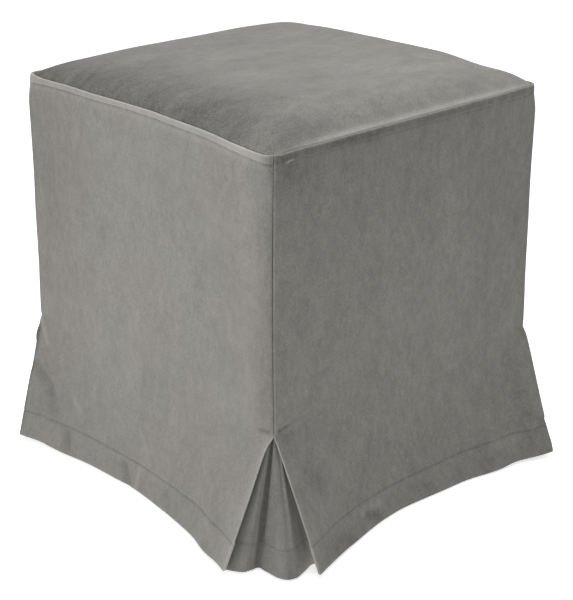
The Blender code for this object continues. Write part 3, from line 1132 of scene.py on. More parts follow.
    def rows(self) -> Array:
        """Gives the rows.

        Returns:
            The cloth's length above the hem, and below 0 the hem's turn and its inner layer.
        """
        low, high = COVER.hem_depth + self.skirt_from, COVER.slit + self.skirt_past
        skirt = np.arange(low, high, self.skirt_pitch)
        pulled = COVER.stitch_row + np.array(self.pulled_rows)
        middle = np.arange(skirt[-1] + self.row_pitch, pulled[0], self.row_pitch)
        edge = COVER.stitch_row + np.linspace(0, self.edge_curve()[1][-1], self.edge_row_count)
        return np.concatenate([self.turned.hem_rows(self.hem_row_count), skirt, middle, pulled[1:], edge])

    def place(self, column: Array, row: Array) -> tuple[Array, Array]:
        """Puts the panel's points in their places.

        Args:
            column: values of columns().
            row: values of rows().

        Returns:
            The points and their painted light and shade.
        """
        length, depth = self.turned.on_hem(row)
        side, opened, past = side_of(column), self.opened(length), np.abs(column) - 1
        edge = self.edge(side, length)
        radius = mix(self.seam_radius, self.turned.radius, opened)
        turn, beyond = mix(math.pi / 2, math.pi, opened), mix(self.seam_turn, self.slit_turn, opened)
        turned, side_depth = self.turned.place(past - 1, turn, beyond, radius)
        inward = np.where(past > 1, turned, mix(self.margin, radius, np.clip(past, 0, 1)))
        over_hem = self.stack * smooth_step((COVER.hem_depth + self.stack_fade - length) / self.stack_fade)
        depth = depth + np.where(past > 1, side_depth + over_hem * np.clip(past - 1, 0, 1), 0.0)
        across = np.where(past <= 0, column * (edge - self.margin), side * (edge - inward))
        points, _, _, out = self.frames(across, length)
        points = points - out * depth[:, None]
        return points, self.painted_light(across, length, points[:, 2])

    def painted_light(self, across: Array, length: Array, height: Array) -> Array:
        """Gives the painted light and shade.

        Args:
            across: the places along the side.
            length: the cloth's lengths above the hem.
            height: the heights above the floor.

        Returns:
            One value for each point, 0 where nothing is painted.
        """
        inside, opened, above = self.inside(across, length), self.opened(length), length - COVER.stitch_row
        left = mix(self.left_seam.painted_light(inside), self.left_slit.painted_light(inside), opened)
        right = mix(self.right_seam.painted_light(inside), self.right_slit.painted_light(inside), opened)
        total = np.where(across < 0, left, right) + self.hem_shade.at(length - COVER.hem_depth)
        total += self.band_light_and_shade * smooth_step(above / self.band_start)
        total += sum(mark.at(above) for mark in (self.lip_highlight, self.under_stitch_light, self.stitch_shade))
        total += sum(shade.painted_light(across, height) for shade in self.shades)
        return total + sum(crease.shade * crease.strength(across, length) for crease in self.creases)

    def build(self) -> Piece:
        """Makes the panel, without the slits' turnings inside its hem.

        Returns:
            The panel, as a sheet with its thickness.
        """
        name, columns, rows = f"side_panel_{self.name}", self.columns(), self.rows()
        return make_sheet(
            name, columns, rows, self.place, self.cloth, lambda column, row: (np.abs(column) > 2) & (row <= 0)
        )

    def sew(self, seamstress: Seamstress) -> Piece:
        """Sews the panel's top edge, hem and corner seam.

        Args:
            seamstress: the thread and its pitch.

        Returns:
            The stitches.
        """
        lines = []
        for length, end in ((COVER.stitch_row, self.top_end), (COVER.hem_depth, self.hem_end)):
            left, right = (float(self.edge(side, length)) - end for side in (-1.0, 1.0))
            across = np.arange(-left, right, seamstress.pitch)
            points, along, _, out = self.frames(across, np.full_like(across, length))
            lines.append((points, along, out))
        up_seam = np.arange(COVER.slit + self.seam_end, COVER.stitch_row - self.seam_end, seamstress.pitch)
        points, _, up, out = self.frames(self.seam_aside - self.edge(-1.0, up_seam), up_seam)
        return seamstress.sew(f"stitching_{self.name}", [*lines, (points, up, out)])

    def dress(self, piece: Piece, stitching: Piece, finish: Material) -> None:
        """Gives the panel its finish and its place among the pieces.

        Args:
            piece: the panel.
            stitching: its rows of stitches; not used.
            finish: its velvet.
        """
        dress(piece, finish, self.velvet.slot)
        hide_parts(f"panel_{self.name}")


# ---- the pleats


@dataclass(frozen=True)
class Pinch:
    """A sharp ridge (height above 0) or trough down an insert, at a share of its width."""

    top_share: float
    hem_share: float
    width: float
    height: float
    centre: float = 0.85  # the share of the drop at which it stands out most
    spread: float = 0.90
    shade: float = 0.0  # painted light along it where above 0, painted shade where below

    def strength(self, share: Array, length: Array) -> Array:
        """Gives how strongly it is felt at places on the insert.

        Args:
            share: the places across, from 0 to 1.
            length: the cloth's lengths above the hem.

        Returns:
            One value for each place, from 0 to 1.
        """
        up = length / COVER.slit
        place = mix(self.hem_share, self.top_share, up * up)
        return hump((share - place) / self.width) * hump((1 - up - self.centre) / self.spread)


@dataclass(frozen=True)
class PleatInsert:
    """The insert that closes one corner slit from behind, folded in a W, with its hem turned up."""

    name: str
    first: SidePanel
    second: SidePanel
    hem: tuple[Pair, ...]  # (share of the line between the hem corners, set back from it)
    velvet: Velvet
    pinches: tuple[Pinch, ...]
    seed: float
    column_count: int = 120
    first_wing: tuple[float, ...] = (0.038, 0.028, 0.018, 0.007)  # how far inside the panel's edge it lies
    first_slant: float = 0.004
    last_wing: tuple[float, ...] = (0.028, 0.036, 0.044)
    last_slant: float = -0.012
    set_in: float = 0.5
    hem_z: float = 0.0028
    top_reach: float = 0.0105
    top_inset: float = 0.0031
    corner_inset: float = 0.0050
    hem_inset: float = 0.0052
    tuck: float = 0.012
    cloth: float = 0.0009
    turned: TurnedEdge = TurnedEdge(radius=0.0010)
    width: float = 0.17
    broad_wave: Pair = (0.00045, 0.020)  # (height, size) of the cloth's slight waves
    fine_wave: Pair = (0.00018, 0.008)
    fine_seed: float = 3.0
    wave_squeeze: float = 0.5
    hem_groove: Bell = Bell(-0.00035, 0.0010)
    # painted shade along the hem's stitch groove
    hem_shade: Bell = Bell(-0.10, 0.0012)
    row_pitch: float = 0.0030
    hem_row_count: int = 8
    middle_from: float = 0.0050  # the rows above the hem begin this far above its stitches
    curve_steps: int = 16
    sewn_shares: Pair = (0.03, 0.97)
    flat_size: Pair = (0.18, 0.20)
    flat_area: float = 0.0262

    def wing(
        self, panel: SidePanel, side: float, backs: Sequence[float], slant: float, drop: float
    ) -> list[Vector]:
        """Finds plan points of the cloth that lies close behind a panel.

        Args:
            panel: the panel.
            side: which of its edges: -1 for the left one and 1 for the right one.
            backs: how far inside the edge each point lies.
            slant: how much further inside at the pleats' opening.
            drop: from 0 at the pleats' opening to 1 at the hem.

        Returns:
            The points, in the order of backs.
        """
        cloth, line = COVER.slit * (1 - drop), []
        behind = mix(self.top_inset, self.hem_inset, smooth_step(drop / self.set_in))
        edge = float(panel.edge(side, min(cloth, COVER.slit - HAIR)))
        for back in backs:
            across = side * (edge - back - slant * (1 - drop))
            line.append(panel.plan(across, float(panel.skirt_face(np.float64(across), cloth)[0]) - behind))
        return line

    def line(self, length: float) -> list[Vector]:
        """Finds the plan points that the outer face runs through at one length above the hem.

        Args:
            length: the cloth's length above the hem.

        Returns:
            The points, from the first panel's side to the second's.
        """
        drop = min(max(1 - length / COVER.slit, 0.0), 1.0)
        right, left = self.first.skirt.right, self.second.skirt.left
        start, end = self.first.plan(right.edge, right.reach), self.second.plan(left.edge, left.reach)
        chord = end - start
        inward = Vector((-chord.y, chord.x, 0)).normalized()
        corner = self.first.plan(COVER.pleat_half, COVER.pleat_half)
        first_out, second_out = Vector(self.first.out), Vector(self.second.out)
        spread = self.top_reach - self.corner_inset
        middle = []
        for index, (share, setback) in enumerate(self.hem):
            low = start + chord * share + inward * setback
            turn = -1.0 + 2.0 * index / (len(self.hem) - 1)
            rounding = mix(self.corner_inset, self.top_inset, abs(turn)) - self.corner_inset
            along_first = self.corner_inset + max(-turn, 0) * spread + max(turn, 0) * rounding
            along_second = self.corner_inset + max(turn, 0) * spread + max(-turn, 0) * rounding
            high = corner - second_out * along_first - first_out * along_second
            middle.append(high.lerp(low, drop))
        before = self.wing(self.first, 1.0, self.first_wing, self.first_slant, drop)
        return [*before, *middle, *self.wing(self.second, -1.0, self.last_wing, self.last_slant, drop)]

    def relief(self, share: Array, length: Array) -> Array:
        """Gives the slight unevenness of the folded cloth, and its stitch row's groove.

        Args:
            share: the places across, from 0 to 1.
            length: the cloth's lengths above the hem.

        Returns:
            One distance for each place.
        """
        waves = self.hem_groove.at(length - COVER.hem_depth)
        for (height, size), shift in ((self.broad_wave, 0.0), (self.fine_wave, self.fine_seed)):
            places = share * self.width, length * self.wave_squeeze
            waves = waves + height * ripple(*places, size, self.seed + shift)
        return waves + sum(pinch.height * pinch.strength(share, length) for pinch in self.pinches)

    def painted_light(self, share: Array, length: Array) -> Array:
        """Gives the painted light and shade."""
        pinched = sum(pinch.shade * pinch.strength(share, length) for pinch in self.pinches)
        return self.hem_shade.at(length - COVER.hem_depth) + pinched

    def outer_face(self, share: Array, length: Array) -> tuple[Array, Array, Array]:
        """Finds points of the outer face.

        Args:
            share: from 0 at the first panel's side to 1 at the second's.
            length: the cloth's lengths above the hem.

        Returns:
            The points, and the directions along and out, one row each.
        """
        points, along = np.zeros((len(share), 3)), np.zeros((len(share), 3))
        for value in np.unique(length):
            curve = smooth_profile([point[:] for point in self.line(float(value))], self.curve_steps)
            here = np.flatnonzero(length == value)
            steps = np.arange(len(curve)) / (len(curve) - 1)
            for axis in (0, 1):
                points[here, axis] = np.interp(share[here], steps, curve[:, axis])
                along[here, axis] = np.interp(share[here], steps, np.gradient(curve[:, axis]))
        points[:, 2] = mix(self.hem_z, COVER.pleat_z, length / COVER.slit)
        along = unit(along)
        out = np.stack([along[:, 1], -along[:, 0], np.zeros(len(share))], 1)
        return points + out * self.relief(share, length)[:, None], along, out

    def place(self, column: Array, row: Array) -> tuple[Array, Array]:
        """Puts the insert's points in their places.

        Args:
            column: the places across, from 0 to 1.
            row: the cloth's lengths above the hem, and below 0 the hem's turn and its inner layer.

        Returns:
            The points and their painted light and shade.
        """
        length, depth = self.turned.on_hem(row)
        length = np.round(length, 9)
        points, _, out = self.outer_face(column, length)
        return COVER.settle(points - out * depth[:, None]), self.painted_light(column, length)

    def build(self) -> Piece:
        """Makes the insert.

        Returns:
            The insert, as a sheet with its thickness.
        """
        top = COVER.slit + self.tuck
        count = round((top - COVER.hem_depth) / self.row_pitch)
        middle = np.linspace(COVER.hem_depth + self.middle_from, top, count)
        rows = np.concatenate([self.turned.hem_rows(self.hem_row_count), middle])
        columns = np.linspace(0, 1, self.column_count + 1)
        return make_sheet(f"pleat_insert_{self.name}", columns, rows, self.place, self.cloth)

    def sew(self, seamstress: Seamstress) -> Piece:
        """Sews the insert's hem.

        Args:
            seamstress: the thread and its pitch.

        Returns:
            The stitches.
        """
        share = np.linspace(*self.sewn_shares, round(self.width / seamstress.pitch))
        points, along, out = self.outer_face(share, np.full_like(share, COVER.hem_depth))
        return seamstress.sew(f"stitching_pleat_{self.name}", [(COVER.settle(points), along, out)])

    def dress(self, piece: Piece, stitching: Piece, finish: Material) -> None:
        """Gives the insert its finish and its place among the pieces.

        Args:
            piece: the insert.
            stitching: its hem's stitches; not used.
            finish: its velvet.
        """
        dress(piece, finish, self.velvet.slot)
        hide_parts(f"pleat_{self.name}")


# ---- the filled body


@dataclass(frozen=True)
class FilledBody:
    """The filled cube with its crowned top, which shows only above the ridge round the top edge."""

    velvet: Velvet
    top_half: float = 0.1997
    top_z: float = 0.4384
    crown: float = 0.0250
    power: float = 9.0
    roundness: float = 0.85
    swell: Pair = (0.165, 0.03)  # how much higher the filling stands towards +X and +Y
    corner_sag: Pair = (0.08, 0.30)  # how much lower it is inside the corners, and the back right one
    sag: Bell = Bell(1.0, 0.036, 0.062)
    broad_wave: Pair = (0.0006, 0.090)  # (height, size) of the top's slight waves
    fine_wave: Pair = (0.00025, 0.030)
    wave_seeds: Pair = (3.0, 8.0)
    corner_radius: float = 0.0120
    edge_steps: tuple[float, ...] = (0.0, 0.0003, 0.0010, 0.0022, 0.0040, 0.0065, 0.0098, 0.0140, 0.0190)
    pitch: float = 0.0036
    side: tuple[Pair, ...] = (  # (height, half width)
        (0.4365, 0.1989), (0.4340, 0.1985), (0.4300, 0.1978), (0.4270, 0.1988), (0.4110, 0.1996),
        (0.3780, 0.1999), (0.3230, 0.1999), (0.2580, 0.2000), (0.1980, 0.2018), (0.1680, 0.2028),
        (0.1600, 0.1982), (0.1000, 0.1967), (0.0400, 0.1947), (0.0090, 0.1922), (0.0025, 0.1882),
        (0.0000, 0.1822),
    )
    base_share: float = 0.8
    front_shade: float = -0.46  # painted shade along the front edge
    front_y: float = -0.196
    front_fade: float = 0.062
    front_end: Bell = Bell(0.45, 0.05, 0.19)  # and how much of it is missing at the near corner
    rim_highlight: Bell = Bell(1.00, 0.0028)  # a painted highlight along the inside of the right edge
    # painted shade in a band just inside that highlight
    rim_shade: Bell = Bell(-0.07, 0.012, 0.013)
    rim_y: float = -0.215
    rim_rise: float = 0.09
    rim_end: Bell = Bell(0.6, 0.05, 0.20)
    light_slope: Pair = (0.080, 0.010)  # how much painted light there is at the right edge, and at the back one
    # patches of painted light and shade on the top
    shades: tuple[Shade, ...] = (
        Shade((-0.115, -0.160), (0.055, 0.035), 0.09),
        Shade((0.120, -0.070), (0.060, 0.060), -0.06),
        Shade((0.140, 0.090), (0.070, 0.120), 0.08),
    )
    fill: float = 0.9

    def shares(self) -> Array:
        """Gives the places of the top's rows and columns, closer together near its edge.

        Returns:
            The places, from -1 to 1.
        """
        middle = self.top_half - self.edge_steps[-1]
        inner = np.linspace(-middle, middle, round(2 * middle / self.pitch) + 1)[1:-1]
        steps = self.top_half - np.array(self.edge_steps)
        return np.concatenate([-steps, inner, steps[::-1]]) / self.top_half

    def round_corners(self, square: Array, half: float, radius: float) -> Array:
        """Moves places of a square so that its corners become round.

        Args:
            square: places from -1 to 1, one row each.
            half: half the width that the square gets.
            radius: the radius of its corners.

        Returns:
            The plan places, one row each.
        """
        plan = square * half
        straight = half - radius
        past = np.maximum(np.abs(plan) - straight, 0)
        both = (past > 0).all(axis=1)
        pull = np.where(both, past.max(axis=1) / np.maximum(np.hypot(past[:, 0], past[:, 1]), 1e-9), 1.0)
        rounded = np.sign(plan) * (straight + past * pull[:, None])
        return np.where(both[:, None], rounded, plan)

    def top_place(self, square: Array) -> Array:
        """Puts places of the top panel at their height.

        Args:
            square: places from -1 to 1, one row each.

        Returns:
            One row for each point.
        """
        plan = self.round_corners(square, self.top_half, float(COVER.rounding(self.top_z)))
        rise = np.prod((1 - np.abs(square) ** self.power).clip(0) ** self.roundness, axis=1)
        from_corner = np.hypot(*(self.top_half * (1 - np.abs(square))).T)
        sag = mix(*self.corner_sag, (square.sum(axis=1) / 2).clip(0, 1))
        rise = rise * (1 - sag * self.sag.at(from_corner))
        height = self.top_z + self.crown * rise * (1 + square @ np.array(self.swell))
        for (tall, size), seed in zip((self.broad_wave, self.fine_wave), self.wave_seeds):
            height = height + rise * tall * ripple(plan[:, 0], plan[:, 1], size, seed)
        return np.column_stack([plan, height])

    def painted_light(self, square: Array) -> Array:
        """Gives the painted light and shade on the top.

        Args:
            square: places from -1 to 1, one row each.

        Returns:
            One value for each place.
        """
        across, deep = (square * self.top_half).T
        inside = self.top_half - across
        front = self.front_shade * hump(np.maximum(deep - self.front_y, 0) / self.front_fade)
        front *= 1 - self.front_end.at(across)
        rim = self.rim_highlight.at(inside) + self.rim_shade.at(inside)
        rim *= smooth_step((deep - self.rim_y) / self.rim_rise) * (1 - self.rim_end.at(deep))
        patches = sum(shade.painted_light(across, deep) for shade in self.shades)
        return front + rim + patches + square @ np.array(self.light_slope)

    def build(self) -> Piece:
        """Makes the body: its top as a fine grid, its sides drawn down from it, and its flat base.

        Returns:
            The body.
        """
        shape, across, deep = flat_grid(self.shares(), self.shares())
        square = np.column_stack([across, deep])
        places = shape.verts.layers.float_vector.new("square")
        for vertex, share in zip(shape.verts, square):
            vertex[places] = Vector((*share, 0))
        lay(shape, COVER.settle(self.top_place(square)), self.painted_light(square))
        rim = [edge for edge in shape.edges if edge.is_boundary]
        for height, half in (*self.side, (0.0, self.side[-1][1] * self.base_share)):
            rim = self.draw_down(shape, rim, places, half, height)
        bmesh.ops.contextual_create(shape, geom=rim)
        bmesh.ops.recalc_face_normals(shape, faces=shape.faces)
        shape.verts.index_update()
        shape.faces.sort(key=self.face_order)
        return add_piece("filled_cushion", shape)

    @staticmethod
    def face_order(face: bmesh.types.BMFace) -> int:
        """Numbers a face by its lowest and highest point, so that every run orders the faces alike."""
        points = [vertex.index for vertex in face.verts]
        return min(points) * 10**6 + max(points)

    def draw_down(self, shape: Shape, rim: Rim, places: Layer, half: float, height: float) -> Rim:
        """Extrudes the rim to a new row.

        Args:
            shape: the body so far.
            rim: the edges of its open rim.
            places: the layer that keeps each point's place in the square.
            half: half the width at the new row.
            height: the new row's height.

        Returns:
            The edges of the new rim.
        """
        made = bmesh.ops.extrude_edge_only(shape, edges=rim)["geom"]
        verts = [item for item in made if isinstance(item, bmesh.types.BMVert)]
        square = np.array([vertex[places][:2] for vertex in verts])
        plan = self.round_corners(square, half, max(self.corner_radius, float(COVER.rounding(height))))
        bulge = COVER.bulge(plan[:, ::-1], height) * (np.abs(square) > 1 - HAIR)
        plan = plan + np.sign(plan) * bulge * (height > COVER.pleat_z)
        points = COVER.settle(np.column_stack([plan, np.full(len(plan), height)]))
        for vertex, point in zip(verts, points):
            vertex.co = point
        return [item for item in made if isinstance(item, bmesh.types.BMEdge) and item.is_boundary]

    def dress(self, piece: Piece, finish: Material) -> None:
        """Gives the body its finish and its place among the pieces.

        Args:
            piece: the body.
            finish: its velvet.
        """
        dress(piece, finish, self.velvet.slot)
        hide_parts("filled_body")


# ---- this pouf's own pieces

SIDE_VELVET = Velvet(
    name="side velvet",
    slot="side_velvet",
    colour=(0.1965, 0.1905, 0.1775),
    clouds=(
        Cloud((42.0, 42.0, 20.0), 0.26),
        Cloud((140.0, 140.0, 85.0), 0.34, 3.0),
        Cloud((560.0, 560.0, 430.0), 0.46),
        Cloud((1400.0, 1400.0, 1200.0), 0.34, 1.0),
    ),
    warm=(1.032, 0.997, 0.980),
    cool=(0.980, 1.004, 1.002),
)
# a darker copy of the side velvet for the right panel: painted shade for the side that faces away from the
# lights, with stronger marks as they show in that light
SHADED_VELVET = replace(
    SIDE_VELVET,
    name="shaded side velvet",
    colour=(0.1887, 0.1848, 0.1694),
    clouds=(
        Cloud((42.0, 42.0, 20.0), 0.32),
        Cloud((140.0, 140.0, 85.0), 0.46, 3.0),
        Cloud((560.0, 560.0, 430.0), 0.64),
        Cloud((1400.0, 1400.0, 1200.0), 0.40, 1.0),
    ),
    warm=(1.003, 1.000, 0.996),
    cool=(0.998, 1.000, 1.003),
)
TOP_VELVET = Velvet(
    name="top velvet",
    slot="top_velvet",
    colour=(0.2094, 0.2060, 0.1912),
    clouds=(
        Cloud((34.0, 15.0, 25.0), 0.38),
        Cloud((110.0, 60.0, 85.0), 0.42, 3.0),
        Cloud((540.0, 400.0, 540.0), 0.62),
        Cloud((1300.0, 1300.0, 1300.0), 0.46, 1.0),
    ),
    brush=(110.0, 60.0, 90.0),
)
PLEAT_VELVET = replace(
    SIDE_VELVET,
    name="pleat velvet",
    slot="pleat_velvet",
    colour=(0.1830, 0.1794, 0.1670),
    warm=(1.010, 1.000, 0.990),
)

FRONT_SKIRT = Skirt(
    low_across=0.000,
    low_reach=0.2300,
    left=SkirtEnd(-0.1850, 0.2580, 2.2, bow=-0.0034),
    right=SkirtEnd(0.1973, 0.2650, 2.0, bow=-0.0038),
    folds=(
        Fold(-0.196, -0.120, 0.026, 0.0020, 0.25),
        Fold(-0.190, -0.158, 0.014, -0.0014, 0.05),
        Fold(0.120, 0.152, 0.020, 0.0032, 0.30),
        Fold(0.000, 0.004, 0.034, -0.0014, 0.30),
    ),
    bow_drop=0.16,
)
RIGHT_SKIRT = Skirt(
    low_across=-0.035,
    low_reach=0.2360,
    left=SkirtEnd(-0.1952, 0.2700, 1.7),
    right=SkirtEnd(0.1908, 0.2765, 1.5, bow=0.0014),
    folds=(
        Fold(0.150, 0.143, 0.020, -0.0038, 0.20),
        Fold(0.070, 0.070, 0.030, -0.0028, 0.35),
        Fold(-0.130, -0.120, 0.026, 0.0012, 0.40),
    ),
)
BACK_SKIRT = Skirt(
    low_across=0.012,
    low_reach=0.2310,
    left=SkirtEnd(-0.1900, 0.2690, 2.0),
    right=SkirtEnd(0.1920, 0.2640, 2.1),
    folds=(
        Fold(-0.140, -0.120, 0.024, 0.0030, 0.25),
        Fold(0.060, 0.075, 0.030, -0.0022, 0.30),
        Fold(0.165, 0.150, 0.018, -0.0030, 0.15),
    ),
)
LEFT_SKIRT = Skirt(
    low_across=-0.010,
    low_reach=0.2320,
    left=SkirtEnd(-0.1930, 0.2660, 1.9),
    right=SkirtEnd(0.1890, 0.2680, 2.0),
    folds=(
        Fold(-0.080, -0.090, 0.028, -0.0024, 0.30),
        Fold(0.130, 0.118, 0.024, 0.0030, 0.25),
        Fold(0.185, 0.156, 0.015, -0.0032, 0.10),
    ),
)
NEAR_PLEAT_HEM = (
    (0.195, 0.0062), (0.285, 0.0100), (0.360, 0.0118), (0.445, 0.0078), (0.555, -0.0015),
    (0.670, -0.0048), (0.765, 0.0012), (0.850, 0.0145), (0.915, 0.0250),
)
SOFT_PLEAT_HEM = (
    (0.170, 0.0090), (0.265, 0.0150), (0.360, 0.0130), (0.450, 0.0060), (0.540, 0.0040),
    (0.640, 0.0090), (0.735, 0.0150), (0.820, 0.0140), (0.890, 0.0120),
)
NEAR_PINCHES = (
    Pinch(0.420, 0.396, 0.034, -0.0062, centre=0.5, spread=0.6, shade=-0.08),  # the valley between its lobes
    Pinch(0.440, 0.404, 0.046, 0.0, spread=2.0, shade=-0.25),  # and the painted shade in it
    Pinch(0.600, 0.560, 0.050, 0.0, spread=2.0, shade=0.10),  # painted light on the right lobe, strongest near its edge
    Pinch(0.690, 0.662, 0.022, 0.0020, centre=0.50, spread=0.5, shade=0.05),  # the right lobe's sharp edge
    Pinch(0.530, 0.510, 0.100, 0.0, spread=2.0, shade=-0.24),  # painted shade on its middle
    Pinch(0.800, 0.800, 0.068, 0.0, spread=2.0, shade=1.10),  # and painted light in the recess beside it
)
SOFT_PINCHES = (
    Pinch(0.360, 0.330, 0.020, -0.0030, shade=-0.12),
    Pinch(0.640, 0.700, 0.022, -0.0026, shade=-0.10),
)
POKING_PINCHES = (
    Pinch(0.530, 0.520, 0.060, 0.0068, centre=0.18, spread=0.15, shade=-0.48),  # shows beside the panel, painted dark as shade
    Pinch(0.700, 0.690, 0.022, -0.0026, shade=-0.10),
)
FRONT_EDGE = (
    (-0.0006, 0.0000), (0.0008, 0.0014), (0.0006, 0.0042), (-0.0002, 0.0070), (-0.0013, 0.0087),
    (-0.0025, 0.0090), (-0.0034, 0.0080), (-0.0037, 0.0063), (-0.0038, 0.0045),
)
RIGHT_EDGE = (
    (-0.0003, 0.0000), (0.0004, 0.0016), (0.0006, 0.0040), (0.0003, 0.0064), (-0.0005, 0.0082),
    (-0.0018, 0.0089), (-0.0031, 0.0081), (-0.0037, 0.0064), (-0.0038, 0.0045),
)
# each crease: start, end, width, height, and its painted light where above 0 and painted shade where below
FRONT_CREASES = (
    Crease((-0.186, 0.088), (-0.164, 0.071), 0.0068, -0.0026, -0.13),  # the trough beside the left slit
    Crease((-0.158, 0.064), (-0.147, 0.045), 0.0078, -0.0020, -0.12),
    Crease((-0.200, 0.149), (-0.179, 0.123), 0.0024, 0.0016, 0.28),
    Crease((-0.123, 0.068), (-0.109, 0.058), 0.0030, 0.0012, 0.13),
    Crease((-0.114, 0.054), (-0.103, 0.044), 0.0026, 0.0006, 0.03),
    Crease((-0.002, 0.074), (0.020, 0.039), 0.0030, 0.0011, 0.10),
    Crease((-0.118, 0.025), (-0.113, 0.009), 0.0050, -0.0024, -0.16),  # dents below the hem's stitches
    Crease((-0.022, 0.022), (-0.010, 0.006), 0.0060, -0.0022, -0.16),
    Crease((0.005, 0.024), (0.006, 0.004), 0.0026, 0.0012, 0.20),
    Crease((0.056, 0.020), (0.066, 0.009), 0.0065, -0.0013, -0.07),
    Crease((0.142, 0.019), (0.155, 0.009), 0.0070, -0.0012, -0.05),
    Crease((0.186, 0.1525), (0.199, 0.1555), 0.0018, -0.0014, -0.32),  # drawn in by the bar tack
)
RIGHT_CREASES = (
    Crease((0.171, 0.023), (0.191, 0.037), 0.0040, -0.0015, -0.08),
    Crease((0.176, 0.042), (0.195, 0.038), 0.0028, -0.0012, -0.08),
    Crease((0.118, 0.026), (0.150, 0.026), 0.0060, 0.0008, 0.12),
    Crease((0.182, 0.074), (0.187, 0.052), 0.0050, 0.0012, 0.08),
    Crease((-0.088, 0.015), (-0.074, 0.010), 0.0065, -0.0024, -0.26),
    Crease((-0.098, 0.023), (-0.064, 0.021), 0.0055, 0.0010, 0.18),
    Crease((-0.150, 0.016), (-0.135, 0.012), 0.0080, -0.0010, -0.10),
    Crease((0.092, 0.014), (0.108, 0.012), 0.0060, -0.0013, -0.08),
    Crease((0.180, 0.012), (0.192, 0.010), 0.0120, 0.0018),
    Crease((-0.185, 0.4368), (-0.179, 0.4382), 0.0013, 0.0004, 0.75),  # a loose stitch
    Crease((-0.006, 0.016), (0.010, 0.010), 0.0060, -0.0011, -0.06),
    Crease((-0.172, 0.104), (-0.155, 0.076), 0.0110, -0.0014, -0.13),
    Crease((0.087, 0.430), (0.088, 0.411), 0.0035, -0.0005, -0.06),
    Crease((-0.199, 0.1570), (-0.186, 0.1590), 0.0020, -0.0015, -0.30),
    Crease((-0.194, 0.1620), (-0.183, 0.1645), 0.0014, 0.0005, 0.10),
    Crease((-0.196, 0.152), (-0.183, 0.150), 0.0020, -0.0005, -0.06),
)
BACK_CREASES = (
    Crease((-0.186, 0.110), (-0.158, 0.052), 0.0065, -0.0028, -0.08),
    Crease((0.030, 0.066), (0.012, 0.038), 0.0030, 0.0008, 0.05),
    Crease((0.122, 0.075), (0.112, 0.050), 0.0034, 0.0009, 0.05),
    Crease((-0.070, 0.023), (-0.062, 0.008), 0.0055, -0.0018, -0.08),
    Crease((0.048, 0.021), (0.060, 0.009), 0.0060, -0.0015, -0.08),
    Crease((0.196, 0.156), (0.183, 0.152), 0.0022, -0.0010, -0.10),
    Crease((-0.196, 0.155), (-0.184, 0.160), 0.0022, -0.0010, -0.10),
)
LEFT_CREASES = (
    Crease((0.184, 0.118), (0.150, 0.060), 0.0068, -0.0026, -0.08),
    Crease((-0.108, 0.078), (-0.096, 0.048), 0.0032, 0.0009, 0.05),
    Crease((0.024, 0.062), (0.040, 0.036), 0.0030, 0.0007, 0.04),
    Crease((-0.044, 0.022), (-0.036, 0.008), 0.0052, -0.0018, -0.08),
    Crease((0.104, 0.022), (0.112, 0.008), 0.0060, -0.0016, -0.08),
    Crease((0.196, 0.155), (0.184, 0.160), 0.0022, -0.0010, -0.10),
    Crease((-0.196, 0.156), (-0.184, 0.152), 0.0022, -0.0010, -0.10),
)
# patches of painted light and shade on the front and the right panels: place, spread, amount
FRONT_SHADES = (
    Shade((-0.175, 0.340), (0.085, 0.180), -0.19),
    Shade((0.145, 0.435), (0.045, 0.009), 0.13),
    Shade((0.200, 0.434), (0.011, 0.012), -0.42),
    Shade((-0.165, 0.050), (0.050, 0.060), -0.03),
)
RIGHT_SHADES = (
    Shade((0.172, 0.068), (0.011, 0.040), -0.13),
    Shade((-0.140, 0.060), (0.012, 0.020), 0.04),
    Shade((0.000, 0.425), (0.300, 0.060), -0.08),
    Shade((-0.078, 0.435), (0.032, 0.008), -0.17),
    Shade((-0.180, 0.418), (0.030, 0.018), -0.15),
    Shade((0.160, 0.270), (0.070, 0.100), -0.11),
    Shade((-0.170, 0.008), (0.050, 0.020), -0.17),
    Shade((0.170, 0.012), (0.030, 0.018), -0.09),
)


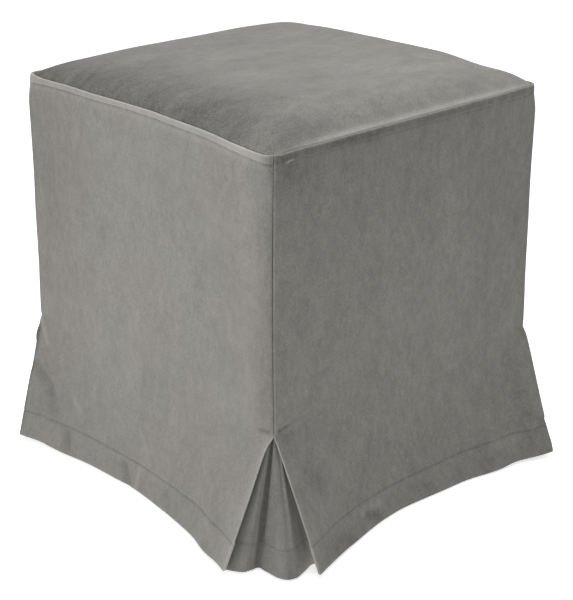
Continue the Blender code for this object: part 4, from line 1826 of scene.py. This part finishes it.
def make_panels() -> list[SidePanel]:
    """Gives the four side panels, in order round the pouf.

    Returns:
        The front, right, back and left panels.
    """
    front = SidePanel(
        "front", (1, 0, 0), (0, -1, 0), FRONT_SKIRT, SIDE_VELVET, FRONT_CREASES, 11.0, FRONT_SHADES,
        edge_profile=FRONT_EDGE,
        stitch_shade=Bell(-0.07, 0.0011),
        under_stitch_light=Bell(0.18, 0.0034, -0.0036),
        lip_highlight=Bell(0.60, 0.0017, 0.0106),
        band_light_and_shade=0.33,
        left_seam=EdgeLook(band=-0.04),
        left_slit=EdgeLook(line=-0.58, line_width=0.0022),
        right_seam=EdgeLook(band=-0.23, band_width=0.020),
        right_slit=EdgeLook(line=0.50, band=0.17, band_width=0.011),
    )
    right = SidePanel(
        "right", (0, 1, 0), (1, 0, 0), RIGHT_SKIRT, SHADED_VELVET, RIGHT_CREASES, 23.0, RIGHT_SHADES,
        edge_profile=RIGHT_EDGE,
        hem_shade=Bell(-0.16, 0.0012),
        stitch_shade=Bell(-0.06, 0.0011),
        lip_highlight=Bell(0.74, 0.0017, 0.0105),
        band_light_and_shade=-0.20,
        left_seam=EdgeLook(line=0.12, band=-0.03),
        left_slit=EdgeLook(line=0.42, band=0.02),
        right_slit=EdgeLook(),
    )
    back = SidePanel("back", (-1, 0, 0), (0, 1, 0), BACK_SKIRT, SIDE_VELVET, BACK_CREASES, 37.0)
    left = SidePanel("left", (0, -1, 0), (-1, 0, 0), LEFT_SKIRT, SIDE_VELVET, LEFT_CREASES, 51.0)
    return [front, right, back, left]


def make_pleats(panels: Sequence[SidePanel]) -> list[PleatInsert]:
    """Gives the four pleat inserts.

    Args:
        panels: the side panels, in order.

    Returns:
        The insert at each panel's right edge, in the same order.
    """
    front, right, back, left = panels
    return [
        PleatInsert("front_right", front, right, NEAR_PLEAT_HEM, PLEAT_VELVET, NEAR_PINCHES, 61.0, 220),
        PleatInsert("back_right", right, back, SOFT_PLEAT_HEM, PLEAT_VELVET, SOFT_PINCHES, 67.0),
        PleatInsert("back_left", back, left, NEAR_PLEAT_HEM, PLEAT_VELVET, NEAR_PINCHES, 71.0),
        PleatInsert("front_left", left, front, SOFT_PLEAT_HEM, PLEAT_VELVET, POKING_PINCHES, 79.0),
    ]


def main() -> None:
    """Builds the studio, then every piece of the pouf in the order in which it is sewn."""
    logging.basicConfig(level=logging.INFO, format="%(name)s: %(message)s")
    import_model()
    Camera().build()
    Studio().build()
    velvets = (SIDE_VELVET, SHADED_VELVET, TOP_VELVET, PLEAT_VELVET)
    finishes = {velvet.name: velvet.material() for velvet in velvets}
    seamstress = Seamstress()
    thread = seamstress.twist.material()

    body = FilledBody(TOP_VELVET)
    piece = body.build()
    body.dress(piece, finishes[body.velvet.name])
    log.info("%s: the filled body with its crowned top", piece.name)

    panels = make_panels()
    for part in (*panels, *make_pleats(panels)):
        piece, stitching = part.build(), part.sew(seamstress)
        dress(stitching, thread, seamstress.twist.slot)
        part.dress(piece, stitching, finishes[part.velvet.name])
        log.info("%s and %s: a sheet of the cover and its stitches", piece.name, stitching.name)


if __name__ == "__main__":
    main()
